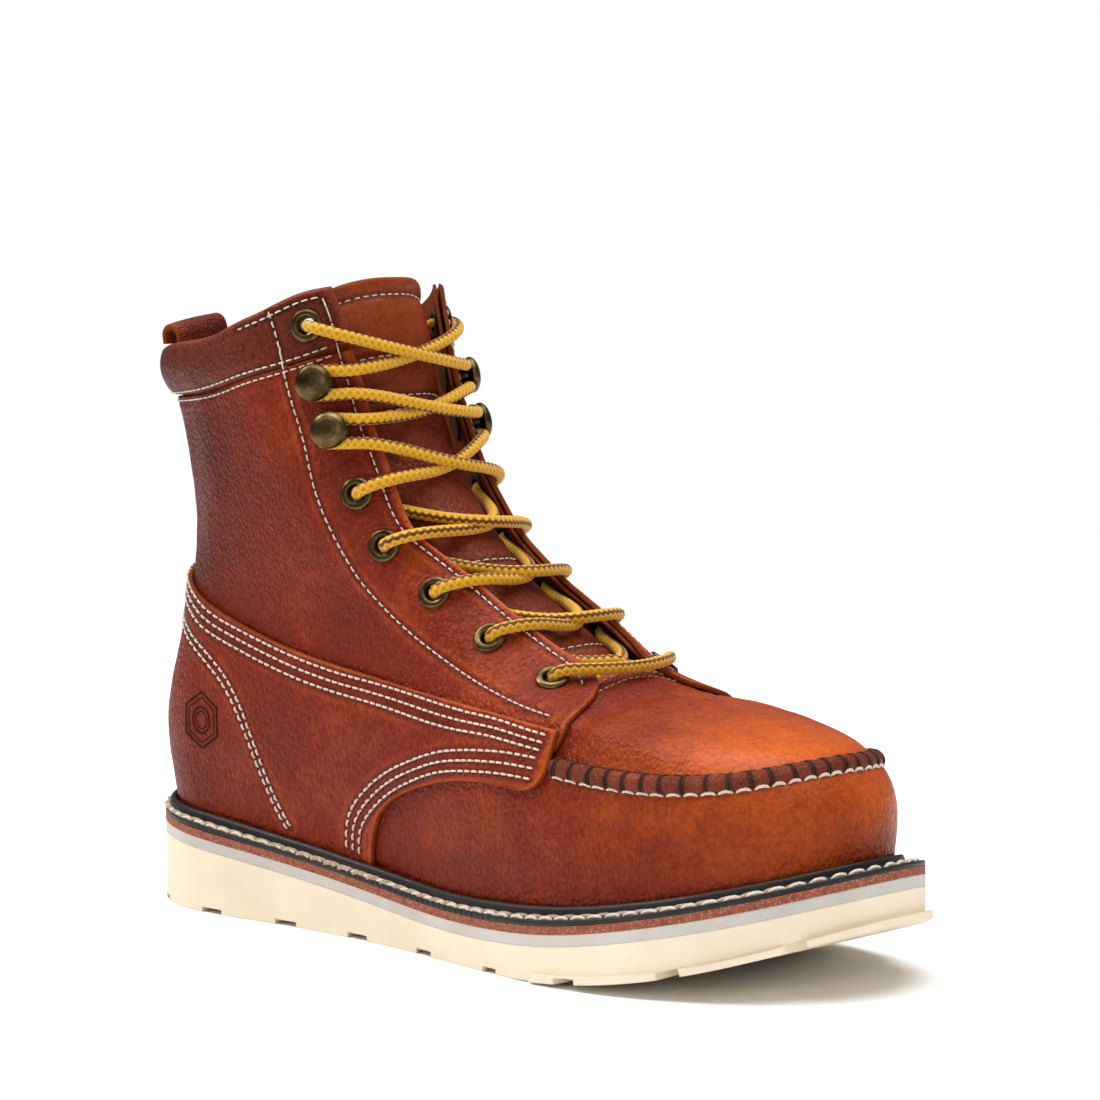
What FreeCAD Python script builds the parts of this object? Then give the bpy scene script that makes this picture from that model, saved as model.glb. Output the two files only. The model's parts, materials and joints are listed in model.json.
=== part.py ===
import FreeCAD, Part
import math
import os

from FreeCAD import Vector

# A six-inch lace-up work boot for the right foot, with a moc toe over a steel toe cap and a
# wedge outsole.  Millimetres.  +X runs from heel to toe, +Y to the inner side of the foot and
# +Z up.  The boot is drawn with x = 0 at the back of the outsole; every solid is then moved
# back by half the outsole's length, so that the origin is on the ground under mid-length.

# ---- driving dimensions ---------------------------------------------------------------
OUTSOLE_LENGTH = 310.0
LEATHER = 1.8            # upper leather
CLEAR = 0.25             # air left between two layers
LINING = 1.0
FACING = 1.2             # leather behind the eyelets
CAP_STEEL = 1.8
COUNTER = 1.6
COLLAR_SKIN = 1.2
COLLAR_PUFF = 3.0        # how far the padding lifts the collar
STRAP = 2.0              # backstay and pull loop leather
TONGUE_SKIN = 1.3
TONGUE_PAD = 3.6
TONGUE_DEPTH = 8.3       # tongue face below the outer surface of the upper

RIB_HEIGHT = 3.5
WELT = 1.8
MIDSOLE_BROWN = 2.7
MIDSOLE_PALE = 3.7
INSOLE_BOARD = 2.4
FOOTBED = 4.5
TREAD_DEPTH = 1.7

EYELET_HOLE_R = 2.9
EYELET_BARREL_R = 3.3
EYELET_FLANGE_R = 5.5
EYELET_FLANGE = 1.0
SET_DEPTH = 0.62         # air behind the facing where an eyelet or rivet is rolled over
HOOK_BASE_R = 4.6
HOOK_NECK_R = 2.0
HOOK_DOME_R = 6.2
HOOK_STANDOFF = 4.4      # clear height under the dome
LACE_R = 1.6
AGLET_R = 1.7
AGLET_LENGTH = 20.0
LOOP_WIDTH = 23.0
LOOP_TILT = 9.0          # degrees: the strap's inner end stands higher
LOOP_FOOT_Z = 192.2


# ---- smooth curves --------------------------------------------------------------------
class Spline:
    """Natural cubic spline through (x, y) knots, straight outside them."""

    def __init__(self, xs, ys):
        n = len(xs)
        self.x = list(xs)
        self.y = list(ys)
        self.h = [xs[i + 1] - xs[i] for i in range(n - 1)]
        upper = [0.0] * n
        right = [0.0] * n
        for i in range(1, n - 1):
            a = self.h[i - 1]
            c = self.h[i]
            r = 6 * ((ys[i + 1] - ys[i]) / c - (ys[i] - ys[i - 1]) / a)
            w = 2 * (a + c) - a * upper[i - 1]
            upper[i] = c / w
            right[i] = (r - a * right[i - 1]) / w
        self.m = [0.0] * n
        for i in range(n - 2, 0, -1):
            self.m[i] = right[i] - upper[i] * self.m[i + 1]
        self.start = (ys[1] - ys[0]) / self.h[0] - self.h[0] * self.m[1] / 6
        self.end = (ys[-1] - ys[-2]) / self.h[-1] + self.h[-1] * self.m[-2] / 6

    def __call__(self, v):
        x = self.x
        if v <= x[0]:
            return self.y[0] + self.start * (v - x[0])
        if v >= x[-1]:
            return self.y[-1] + self.end * (v - x[-1])
        i = 0
        while v > x[i + 1]:
            i += 1
        h = self.h[i]
        a = (x[i + 1] - v) / h
        b = 1 - a
        bend = (a ** 3 - a) * self.m[i] + (b ** 3 - b) * self.m[i + 1]
        return a * self.y[i] + b * self.y[i + 1] + bend * h * h / 6


class Track:
    """A smooth path through (p, q) points, run from 0 to 1 by its own length."""

    def __init__(self, points):
        run = [0.0]
        for (p0, q0), (p1, q1) in zip(points, points[1:]):
            run.append(run[-1] + math.hypot(p1 - p0, q1 - q0))
        run = [r / run[-1] for r in run]
        self.p = Spline(run, [p for p, q in points])
        self.q = Spline(run, [q for p, q in points])

    def __call__(self, t):
        return self.p(t), self.q(t)


def blend(v, low, high):
    """0 below low, 1 above high, smooth between."""
    t = min(max((v - low) / (high - low), 0.0), 1.0)
    return t * t * (3 - 2 * t)


# ---- the shape of the foot: the outer surface of the upper ----------------------------
HEIGHTS = [20, 45, 65, 80, 92, 108, 130, 160, 190, 225]
STATIONS = [30, 70, 110, 150, 190, 225, 262]
HALF_WIDTHS = [
    [29.5, 30.5, 31.0, 36.5, 43.5, 46.0, 45.0],
    [31.5, 32.5, 33.0, 38.5, 46.0, 48.0, 46.0],
    [32.5, 33.5, 33.5, 37.5, 43.5, 45.0, 42.5],
    [31.5, 33.0, 32.5, 35.0, 38.5, 39.5, 36.0],
    [30.5, 32.0, 32.0, 33.0, 34.5, 34.0, 31.0],
    [30.5, 32.5, 32.3, 31.5, 31.5, 31.0, 29.0],
    [30.0, 35.0, 35.0, 32.0, 31.0, 31.0, 31.0],
    [31.0, 38.0, 38.0, 36.0, 35.0, 35.0, 35.0],
    [33.0, 39.5, 40.5, 39.0, 38.0, 38.0, 38.0],
    [34.5, 40.5, 41.5, 40.0, 39.0, 39.0, 39.0],
]
BACK_X = Spline([32, 45, 60, 80, 100, 125, 150, 175, 188, 202, 225],
                [7.5, 4.5, 3.0, 5.5, 10, 13, 10.5, 4.0, -0.3, -1.0, -1.2])
FRONT_X = Spline([20, 40, 50, 58, 64, 69, 73, 77, 81, 86, 93, 104, 118, 132, 150, 175, 200, 225],
                 [295, 297.5, 298, 296.5, 293, 288, 281.5, 267, 244, 221, 205, 188, 166, 150,
                  134, 120, 112, 107])
BACK_R = Spline([38, 60, 100, 140, 180, 225], [31, 32, 33, 38, 42, 44])
FRONT_R = Spline([20, 45, 70, 80, 90, 105, 130, 160, 190, 225],
                 [42, 42, 38, 40, 44, 48, 52, 52, 50, 50])
CENTRE_Y = Spline([0, 45, 90, 130, 170, 205, 235, 262, 287, 305],
                  [0, -0.5, -1.5, -2, -2.2, -1, 0.5, 2.2, 4, 6])
WIDTH_ROWS = [Spline(STATIONS, row) for row in HALF_WIDTHS]
HEIGHT_WEIGHTS = [Spline(HEIGHTS, [1.0 if i == k else 0.0 for i in range(len(HEIGHTS))])
                  for k in range(len(HEIGHTS))]
weights_seen = {}


def full_half_width(x, z):
    """Half the width of the foot between its two rounded ends."""
    x = min(max(x, STATIONS[0]), STATIONS[-1])
    z = round(min(max(z, HEIGHTS[0]), HEIGHTS[-1]), 6)
    if z not in weights_seen:
        weights_seen[z] = [w(z) for w in HEIGHT_WEIGHTS]
    return sum(w * row(x) for w, row in zip(weights_seen[z], WIDTH_ROWS))


def centre_y(x, z):
    k = blend(z, 60, 110)
    return CENTRE_Y(x) * (1 - 0.6 * k) + 5 * k * math.exp(-((x - 180) / 55) ** 2)


def ends(z):
    """Back and front of the slice at height z, and the lengths of its rounded ends."""
    back, front, rb, rf = BACK_X(z), FRONT_X(z), BACK_R(z), FRONT_R(z)
    if front - back < rb + rf:
        k = (front - back) / (rb + rf)
        rb *= k
        rf *= k
    return back, front, rb, rf


def upper_point(s, z):
    """s runs round the back of the slice: 0 at the heel seam, 1 and 2 at the ends of the
    straight side, 3 at the front ridge; negative on the outer (lateral) side."""
    u = min(abs(s), 3.0)
    back, front, rb, rf = ends(z)
    if u <= 1:
        t = u * math.pi / 2
        x = back + rb * (1 - math.cos(t))
        e = math.sin(t)
    elif u <= 2:
        x = back + rb + (u - 1) * (front - rf - back - rb)
        e = 1.0
    else:
        t = (3 - u) * math.pi / 2
        x = front - rf * (1 - math.cos(t))
        e = math.sin(t)
    side = -1 if s < 0 else 1
    return Vector(x, centre_y(x, z) + side * full_half_width(x, z) * e, z)


def quarter_ellipse(a, b):
    return math.pi / 4 * (3 * (a + b) - math.sqrt((3 * a + b) * (a + 3 * b)))


lengths_seen = {}


def lengths(z):
    """Lengths of the back rounding, the straight side and the front rounding at height z."""
    key = round(z, 6)
    if key not in lengths_seen:
        back, front, rb, rf = ends(z)
        lengths_seen[key] = (quarter_ellipse(rb, full_half_width(back + rb, z)),
                             front - rf - back - rb,
                             quarter_ellipse(rf, full_half_width(front - rf, z)))
    return lengths_seen[key]


def unroll(g, z):
    """s for a distance g along the slice from the heel seam."""
    lb, ls, lf = lengths(z)
    if g < lb:
        return g / lb
    if g < lb + ls:
        return 1 + (g - lb) / ls
    return min(2 + (g - lb - ls) / lf, 3.0)


def girth(x, z):
    """Distance along the slice from the heel seam to length x."""
    lb, ls, lf = lengths(z)
    u = station(x, z)
    if u <= 1:
        return u * lb
    if u <= 2:
        return lb + (u - 1) * ls
    return lb + ls + (u - 2) * lf


def around(side, g, z):
    """Point on the upper at a distance g from the heel seam, on one side."""
    return upper_point(side * max(unroll(g, z), 1e-6), z)


def front_point(h, z):
    """Point on the upper at a distance h from the front ridge, negative lateral."""
    return around(-1 if h < 0 else 1, sum(lengths(z)) - abs(h), z)


def station(x, z):
    """u of the point at length x and height z."""
    back, front, rb, rf = ends(z)
    if x <= back + rb:
        return math.acos(min(max(1 - (x - back) / rb, -1.0), 1.0)) * 2 / math.pi
    if x <= front - rf:
        return 1 + (x - back - rb) / (front - rf - back - rb)
    return 3 - math.acos(min(max(1 - (front - x) / rf, -1.0), 1.0)) * 2 / math.pi


def inside(x, y, z):
    back, front, rb, rf = ends(z)
    if not back < x < front:
        return False
    e = 1.0
    if x < back + rb:
        e = math.sqrt(max(1 - ((back + rb - x) / rb) ** 2, 0.0))
    if x > front - rf:
        e = math.sqrt(max(1 - ((x - front + rf) / rf) ** 2, 0.0))
    return abs(y - centre_y(x, z)) < full_half_width(x, z) * e


def outward(point):
    """A rough outward direction, used only to give a normal its sign."""
    back, front, rb, rf = ends(point.z)
    x = min(max(point.x, back + 20), max(front - 30, back + 21))
    return point - Vector(x, centre_y(point.x, point.z), point.z - 8)


def frame_at(f, a, b):
    """Point and outward unit normal of the surface f(a, b), a and b from 0 to 1."""
    step = 0.004
    point = f(a, b)
    da = f(min(a + step, 1.0), b) - f(max(a - step, 0.0), b)
    db = f(a, min(b + step, 1.0)) - f(a, max(b - step, 0.0))
    normal = da.cross(db)
    normal.normalize()
    if normal.dot(outward(point)) < 0:
        normal = normal * -1
    return point, normal


HEEL_GAP = 0.2           # each side of the heel seam


# ---- lines on the upper, as (x, z) ----------------------------------------------------
RIB_TOP = Spline([0, 30, 62, 95, 128, 160, 192, 219, 251, 277, 293, 308],
                 [37, 34.5, 31.5, 28, 24.5, 21.8, 21.8, 23.5, 28.3, 33.8, 38, 42.5])
GROUND = Spline([205, 232, 258, 286, 310], [0, 1.8, 5.5, 12.5, 21])
SEAM_Z = Spline([190, 213, 235, 254, 270, 282, 290], [69, 66.5, 64.5, 64, 64.8, 66.5, 68.5])
FOXING_TOP_Z = Spline([3, 20, 42, 76, 111, 152, 188, 214],
                      [121, 114, 105, 94.5, 88, 82.5, 79, 76.5])
COLLAR_SEAM_Z = Spline([-2, 30, 49, 70, 87, 96, 104], [174, 175.5, 177.6, 182.5, 186.8, 190, 194])
COLLAR_TOP_Z = Spline([-2, 12, 30, 53, 66, 80, 91, 98],
                      [190.5, 192.3, 194.3, 197.3, 201.5, 206.5, 211.5, 213.4])
EYESTAY_EDGE = [(98.2, 213.4), (102.2, 203), (104.9, 193.6), (108.8, 181.8), (113.1, 169),
                (118.5, 157.7), (123.5, 148), (132.1, 134.6), (141.4, 127.1), (151, 120.6),
                (170.7, 108.6), (193.2, 96.7), (204, 91), (212, 85.5), (215.5, 79), (214.5, 72)]
FACING_LINE = [(80, 206), (85, 192), (89.1, 176.6), (93.4, 165.4), (98.9, 148.1),
               (108.2, 129.6), (116, 118.4), (131.1, 105.4), (150, 95.5), (173.6, 87.3),
               (189, 83.6)]
ARCH = [(125, 21.5), (125.2, 28), (127.2, 36), (132, 43), (141, 48.8), (154, 53.5),
        (170, 57.2), (186, 58.6), (200, 58.0), (209, 59), (213.2, 63.5), (214, 69)]
EYELETS = [(195.5, 90.1), (168.6, 101.2), (144.6, 114.3), (124.9, 128.8), (113.6, 145.4),
           (93.0, 200.3)]
HOOKS = [(103.5, 165.5), (97.5, 181.2)]


def unrolled(points):
    """(x, z) points as (girth, z) points."""
    return [(girth(x, z), z) for x, z in points]


def coons(bottom, top, left, right):
    """A map from the unit square to the region between four tracks of (u, z)."""
    corners = {(i, j): (bottom, top)[j](i) for i in (0, 1) for j in (0, 1)}

    def at(a, b):
        value = []
        for k in (0, 1):
            v = (1 - b) * bottom(a)[k] + b * top(a)[k] + (1 - a) * left(b)[k] + a * right(b)[k]
            v -= (1 - a) * (1 - b) * corners[0, 0][k] + a * (1 - b) * corners[1, 0][k]
            v -= (1 - a) * b * corners[0, 1][k] + a * b * corners[1, 1][k]
            value.append(v)
        return value
    return at


def side_panel(side, bottom, top, left, right):
    """Surface over one side of the boot between four lines of (x, z) points."""
    at = coons(*[Track(unrolled(line)) for line in (bottom, top, left, right)])

    def f(a, b):
        g, z = at(a, b)
        return around(side, HEEL_GAP + max(g, 0.0), z)
    return f


# ---- turning surfaces into solids -----------------------------------------------------
def offset_of(value, a, b, point):
    return value(a, b, point) if callable(value) else value


def fitted(points):
    curve = Part.BSplineCurve()
    curve.interpolate(Points=points, Parameters=[float(i) for i in range(len(points))])
    return curve


def skin(grid):
    """A smooth surface through a grid of points, evenly spaced in its own parameters."""
    rows = [fitted(line) for line in grid]
    pole_rows = [row.getPoles() for row in rows]
    columns = [fitted([poles[j] for poles in pole_rows]) for j in range(len(pole_rows[0]))]
    pole_columns = [column.getPoles() for column in columns]
    poles = [[column[i] for column in pole_columns] for i in range(len(pole_columns[0]))]
    surface = Part.BSplineSurface()
    surface.buildFromPolesMultsKnots(
        poles, columns[0].getMultiplicities(), rows[0].getMultiplicities(),
        columns[0].getKnots(), rows[0].getKnots(), False, False, 3, 3)
    return surface


def closed_solid(faces):
    shell = Part.makeShell(faces)
    shell.sewShape()
    solid = Part.makeSolid(Part.Shell(shell.Faces))
    if solid.Volume < 0:
        solid.reverse()
    return solid


def thick_patch(f, columns, rows, inner, outer):
    """A layer over the surface f between two offsets, both counted outward."""
    low, high = [], []
    for i in range(columns):
        low.append([])
        high.append([])
        for j in range(rows):
            a, b = i / (columns - 1), j / (rows - 1)
            point, normal = frame_at(f, a, b)
            low[-1].append(point + normal * offset_of(inner, a, b, point))
            high[-1].append(point + normal * offset_of(outer, a, b, point))
    inner_skin, outer_skin = skin(low), skin(high)
    faces = [inner_skin.toShape(), outer_skin.toShape()]
    u0, u1, v0, v1 = inner_skin.bounds()
    p0, p1, q0, q1 = outer_skin.bounds()
    for u, p in ((u0, p0), (u1, p1)):
        faces.append(Part.makeRuledSurface(inner_skin.uIso(u).toShape(), outer_skin.uIso(p).toShape()))
    for v, q in ((v0, q0), (v1, q1)):
        faces.append(Part.makeRuledSurface(inner_skin.vIso(v).toShape(), outer_skin.vIso(q).toShape()))
    return closed_solid(faces)


def closed_wire(points):
    curve = Part.BSplineCurve()
    curve.interpolate(points, PeriodicFlag=True)
    return Part.Wire([curve.toShape()])


def slab(low, high, x0, x1, half=75.0, steps=24):
    """The space between two heights that depend on x, across the whole width."""
    xs = [x0 + (x1 - x0) * i / steps for i in range(steps + 1)]
    bottom = Part.BSplineCurve()
    bottom.interpolate([Vector(x, -half, low(x)) for x in xs])
    top = Part.BSplineCurve()
    top.interpolate([Vector(x, -half, high(x)) for x in xs])
    sides = [Part.makeLine(Vector(x, -half, low(x)), Vector(x, -half, high(x))) for x in (x0, x1)]
    face = Part.Face(Part.Wire([bottom.toShape(), sides[1], top.toShape(), sides[0]]))
    return face.extrude(Vector(0, 2 * half, 0))


# ---- the sole -------------------------------------------------------------------------
SOLE_OUTLINE = [(0, 0), (6, -21), (28, -37), (70, -40), (112, -40), (152, -44.5), (190, -52),
                (225, -55.5), (260, -50), (286, -36), (304, -14), (310, 6), (304, 27), (286, 43),
                (262, 52), (235, 55.5), (205, 52), (170, 43.5), (130, 37.5), (90, 37), (45, 38),
                (14, 29)]


def welt_top(x):
    return RIB_TOP(x) - RIB_HEIGHT


def welt_bottom(x):
    return welt_top(x) - WELT


def brown_bottom(x):
    return welt_bottom(x) - MIDSOLE_BROWN


def pale_bottom(x):
    return brown_bottom(x) - MIDSOLE_PALE


def ground(x):
    return GROUND(x) if x > GROUND.x[0] else 0.0


def board_bottom(x):
    return welt_top(x) + 0.1


def board_top(x):
    return board_bottom(x) + INSOLE_BOARD


def wall_bottom(x):
    return welt_top(x) + 0.2


def sole_prism(grow=0.0):
    centre = 158.0
    points = []
    for x, y in SOLE_OUTLINE:
        reach = math.hypot(x - centre, y)
        k = 1 + grow / reach
        points.append(Vector(centre + (x - centre) * k, y * k, -5))
    return Part.Face(closed_wire(points)).extrude(Vector(0, 0, 70))


def foot_outline(offset, extra=None, count=26):
    """The foot's own plan at the height of the welt, moved outward by offset."""
    points = []
    stations = [3.0 * i / count for i in range(count + 1)]
    for s in stations + [-v for v in reversed(stations[1:-1])]:
        z = 30.0
        for _ in range(8):
            z = RIB_TOP(upper_point(s, z).x)
        here = upper_point(s, z)
        ahead = upper_point(s + 0.01 if s < 2.99 else 2.99, z)
        behind = upper_point(s - 0.01 if s > -2.99 else -2.99, z)
        if s >= 2.99:
            ahead = upper_point(-2.99, z)
        tangent = ahead - behind
        normal = Vector(tangent.y, -tangent.x, 0)
        normal.normalize()
        if normal.dot(Vector(here.x - min(max(here.x, 40), 250), here.y, 0)) < 0:
            normal = normal * -1
        grow = offset + (extra(here.x) if extra else 0.0)
        moved = here + normal * grow
        points.append(Vector(moved.x, moved.y, -5))
    return Part.Face(closed_wire(points)).extrude(Vector(0, 0, 90))


def foxing_lift(x):
    """How far the lower quarter's outer face stands out from the upper at length x."""
    return (CLEAR + LEATHER) * (1 - blend(x, 118, 134))


def make_outsole():
    body = sole_prism().common(slab(lambda x: -4.0, pale_bottom, -5, 315))
    body = body.fuse(sole_prism(2.5).common(slab(lambda x: -4.0, lambda x: ground(x) + 2.5, 215, 318)))
    body = body.cut(Part.makeBox(340, 160, 10, Vector(-15, -80, -10)))
    body = body.cut(slab(lambda x: -8.0, ground, GROUND.x[0], 318))
    for i in range(16):
        x = 20.0 + 18.0 * i
        tilt = 10 if i % 2 else -10
        bar = Part.makeBox(6.0, 130, 2 * TREAD_DEPTH, Vector(x, -65, ground(x + 3) - TREAD_DEPTH))
        bar.rotate(Vector(x, 0, 0), Vector(0, 0, 1), tilt)
        bar.rotate(Vector(x, 0, ground(x)), Vector(0, 1, 0), -math.degrees(math.atan(
            (ground(x + 6) - ground(x)) / 6)))
        body = body.cut(bar)
    return body


def make_sole_layers():
    prism = sole_prism()
    hole = foot_outline(-6.0)
    rib = foot_outline(3.2, foxing_lift).cut(foot_outline(0.6, foxing_lift))
    plate = prism.common(slab(welt_bottom, welt_top, -5, 315)).cut(hole)
    rib = rib.common(slab(lambda x: welt_top(x) - 0.2, RIB_TOP, -5, 315)).common(prism)
    cork = foot_outline(-6.3).common(slab(welt_bottom, lambda x: welt_top(x) - 0.1, -5, 315))
    shank_strip = Part.makeBox(112, 14, 20, Vector(78, -8, 12))
    shank_slot = Part.makeBox(112.6, 14.6, 20, Vector(77.7, -8.3, 12))
    shank_space = slab(lambda x: welt_bottom(x) + 0.3, lambda x: welt_bottom(x) + 1.6, 60, 210)
    return {
        "midsole_pale": prism.common(slab(pale_bottom, brown_bottom, -5, 315)),
        "midsole_brown": prism.common(slab(brown_bottom, welt_bottom, -5, 315)),
        "storm_welt": plate.fuse(rib),
        "cork_filler": cork.cut(shank_slot),
        "steel_shank": shank_strip.common(shank_space),
        "insole_board": foot_outline(-2.7).common(slab(board_bottom, board_top, -5, 315)),
        "footbed": foot_outline(-7.5).common(
            slab(lambda x: board_top(x) + 0.3, lambda x: board_top(x) + 0.3 + FOOTBED, -5, 315)),
    }


# ---- panels of the upper --------------------------------------------------------------
def line_of(height, x0, x1, count=9):
    return [(x0 + (x1 - x0) * i / (count - 1), height(x0 + (x1 - x0) * i / (count - 1)))
            for i in range(count)]


def back_line(z0, z1, count=7):
    return [(BACK_X(z), z) for z in (z0 + (z1 - z0) * i / (count - 1) for i in range(count))]


def quarter(side):
    top_z = COLLAR_SEAM_Z
    low_z = Spline([6, 30, 60, 111, 152, 188, 214], [112, 101, 91, 80, 74.5, 71.5, 70.8])
    right = [(213.5, 70.8), (215.2, 78), (212, 85.5), (204, 91)]
    right += [p for p in reversed(EYESTAY_EDGE) if 91.5 < p[1] < 192] + [(105, 192.8)]
    left = back_line(low_z(9), top_z(0))
    bottom = [(BACK_X(low_z(9)), low_z(9))] + line_of(low_z, 26, 213.5)
    top = [(BACK_X(top_z(0)), top_z(0))] + line_of(top_z, 22, 105)
    top[-1] = right[-1]
    bottom[-1] = right[0]
    return side_panel(side, bottom, top, left, right)


def foxing(side):
    bottom = [(BACK_X(33.7), wall_bottom(0))] + line_of(wall_bottom, 22, 125)
    left = back_line(wall_bottom(0), FOXING_TOP_Z(8))
    right = list(ARCH) + [(214.2, 76.5)]
    top = [(BACK_X(FOXING_TOP_Z(8)), FOXING_TOP_Z(8))] + line_of(FOXING_TOP_Z, 24, 214.2)
    bottom[-1] = right[0]
    top[-1] = right[-1]
    return side_panel(side, bottom, top, left, right)


def facing(side):
    outer = [p for p in EYESTAY_EDGE if p[0] < 195]
    foot = (200.5, 90.5)
    bottom = [(189, 83.6), (195, 86.3), foot]
    top = [(80, 206), (89, 209.5), (98.2, 213.0)]
    left = list(reversed(FACING_LINE))
    inset = 0.8
    right = [foot] + [(x - inset, z) for x, z in reversed(outer)]
    bottom[-1] = right[0]
    top[-1] = right[-1]
    return side_panel(side, bottom, top, left, right)


def lining(side):
    bottom = [(BACK_X(37), board_top(0) + 0.3)] + line_of(lambda x: board_top(x) + 0.3, 22, 152)
    left = back_line(board_top(0) + 0.3, COLLAR_TOP_Z(0) - 1)
    right = [(152, board_top(152) + 0.3), (151, 45), (149, 70), (145, 90), (129, 103.5)]
    right += [(x - 1.2, z - 0.6) for x, z in reversed(FACING_LINE[:7])]
    top = [(BACK_X(195), COLLAR_TOP_Z(0) - 1)] + line_of(lambda x: COLLAR_TOP_Z(x) - 1, 22, 79)
    bottom[-1] = right[0]
    top[-1] = right[-1]
    return side_panel(side, bottom, top, left, right)


def counter(side):
    """Stiffener behind the stitched heel pocket."""
    bottom = [(BACK_X(37), wall_bottom(0))] + line_of(wall_bottom, 22, 84)
    right = [(84, wall_bottom(84)), (77, 41), (71, 54), (65.5, 65), (58, 75.5), (49, 84.5)]
    left = back_line(wall_bottom(0), 94)
    top = [(BACK_X(94), 94), (18, 92.5), (33, 89), (49, 84.5)]
    bottom[-1] = right[0]
    return side_panel(side, bottom, top, left, right)


def vamp_surface():
    def f(a, b):
        k = 2 * a - 1
        z = 45.0
        for _ in range(14):
            lap = girth(112, z)
            g = lap + (sum(lengths(z)) - lap) * (1 - abs(k))
            x = around(1, g, z).x
            low, high = wall_bottom(x), vamp_top(x)
            z = 0.5 * z + 0.5 * (low + b * (high - low))
        return around(-1 if k < 0 else 1, g, z)
    return f


VAMP_LAP = Spline([112, 122, 134, 148, 166, 186, 203, 215],
                  [31, 41, 50, 56, 60.5, 63.5, 64.8, 65.8])


def vamp_top(x):
    k = blend(x, 203, 217)
    return VAMP_LAP(min(x, 215)) * (1 - k) + (SEAM_Z(x) - 0.3) * k


def seam_point(h):
    """Point of the moc seam at a distance h from the nose, negative lateral."""
    z = 66.0
    for _ in range(14):
        z = 0.5 * z + 0.5 * SEAM_Z(front_point(h, z).x)
    return front_point(h, z)


def seam_reach(x):
    """h of the seam point at length x."""
    low, high = 0.0, 220.0
    for _ in range(40):
        mid = (low + high) / 2
        if seam_point(mid).x > x:
            low = mid
        else:
            high = mid
    return low


def top_height(x, y):
    """Height of the upper's top surface over a plan point."""
    low, high = 60.0, 110.0
    for _ in range(40):
        mid = (low + high) / 2
        if inside(x, y, mid):
            low = mid
        else:
            high = mid
    return low


PLUG_BACK = 203.5
PLUG_CORNER = 38.0       # along the seam from the nose


def plug_surface():
    reach = seam_reach(PLUG_BACK)

    def rim(r):
        p = seam_point(r)
        return p.x, p.y

    def lateral(t):
        return rim(-(reach + (PLUG_CORNER - reach) * t))

    def medial(t):
        return rim(reach + (PLUG_CORNER - reach) * t)

    def nose(t):
        return rim((2 * t - 1) * PLUG_CORNER)

    def back(t):
        (x0, y0), (x1, y1) = lateral(0), medial(0)
        return x0 + (x1 - x0) * t, y0 + (y1 - y0) * t

    at = coons(back, nose, lateral, medial)

    def f(a, b):
        x, y = at(a, b)
        y_mid = centre_y(x, 70)
        shrink = 0.991
        y = y_mid + (y - y_mid) * shrink
        return Vector(x, y, top_height(min(x, 289.6), y))
    return f


def plug_drop(a, b, point):
    """The plug dips under the eyestays at the throat."""
    return -(CLEAR + LEATHER + 0.05) * (1 - blend(point.x, 218, 230))


def seam_band():
    reach = seam_reach(217.5)
    half = 2.6

    def f(a, b):
        h = (2 * a - 1) * reach
        return front_point(h, seam_point(h).z + half * (2 * b - 1))
    return f


def dome_surface(centre, heading, elevation, low_z):
    """Part of the toe seen from a point inside it, by heading and elevation."""
    def hit(direction):
        low, high = 2.0, 170.0
        for _ in range(34):
            mid = (low + high) / 2
            p = centre + direction * mid
            if inside(p.x, p.y, p.z):
                low = mid
            else:
                high = mid
        return centre + direction * low

    def lowest(angle):
        low, high = -70.0, 30.0
        for _ in range(24):
            mid = (low + high) / 2
            p = hit(aim(angle, mid))
            if p.z < low_z(p.x):
                low = mid
            else:
                high = mid
        return high

    def aim(angle, rise):
        return Vector(math.cos(angle) * math.cos(math.radians(rise)),
                      math.sin(angle) * math.cos(math.radians(rise)),
                      math.sin(math.radians(rise)))
    floor = {}

    def f(a, b):
        angle = math.radians((2 * a - 1) * heading)
        key = round(angle, 5)
        if key not in floor:
            floor[key] = lowest(angle)
        rise = floor[key] + b * (elevation - floor[key])
        return hit(aim(angle, rise))
    return f


def crossing_back(half, z0, z1):
    """A strip over the heel seam, from height z0 to z1."""
    def f(a, b):
        z = z0 + (z1 - z0) * b
        k = 2 * a - 1
        return around(-1 if k < 0 else 1, abs(k) * half, z)
    return f


def collar_surface():
    """The collar runs right round the back, from one eyestay edge to the other."""
    def f(a, b):
        k = 2 * a - 1
        z = 190.0
        for _ in range(14):
            low_g, high_g = girth(104.9, z), girth(98.2, z)
            g = abs(k) * (low_g + (high_g - low_g) * b)
            x = around(1, g, z).x
            low = COLLAR_SEAM_Z(x) + 0.5
            high = COLLAR_TOP_Z(x)
            z = 0.5 * z + 0.5 * (low + b * (high - low))
        return around(-1 if k < 0 else 1, g, z)
    return f


def collar_puff(point):
    return COLLAR_PUFF * (1 - blend(point.x, 52, 78))


def collar_outer(a, b, point):
    return 0.3 + collar_puff(point) * math.sin(math.pi * min(max(b, 0.0), 1.0)) ** 0.8


def collar_inner(a, b, point):
    return collar_outer(a, b, point) - COLLAR_SKIN


def foam_surface():
    whole = collar_surface()

    def f(a, b):
        return whole(0.5 + (a - 0.5) * 0.72, 0.08 + 0.86 * b)
    return f


def foam_outer(a, b, point):
    return collar_outer(a, 0.08 + 0.86 * b, point) - COLLAR_SKIN - CLEAR


TONGUE_LOW_Z = 92.0
TONGUE_TOP_Z = 219.0


def tongue_surface():
    reach = Spline([TONGUE_LOW_Z, 130, 170, TONGUE_TOP_Z], [27, 32, 37, 40])

    def f(a, b):
        k = 2 * a - 1
        top = TONGUE_TOP_Z - 7 * k ** 4
        low = TONGUE_LOW_Z - 3 * k * k
        z = low + (top - low) * b
        return front_point(k * reach(z), z)
    return f


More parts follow.
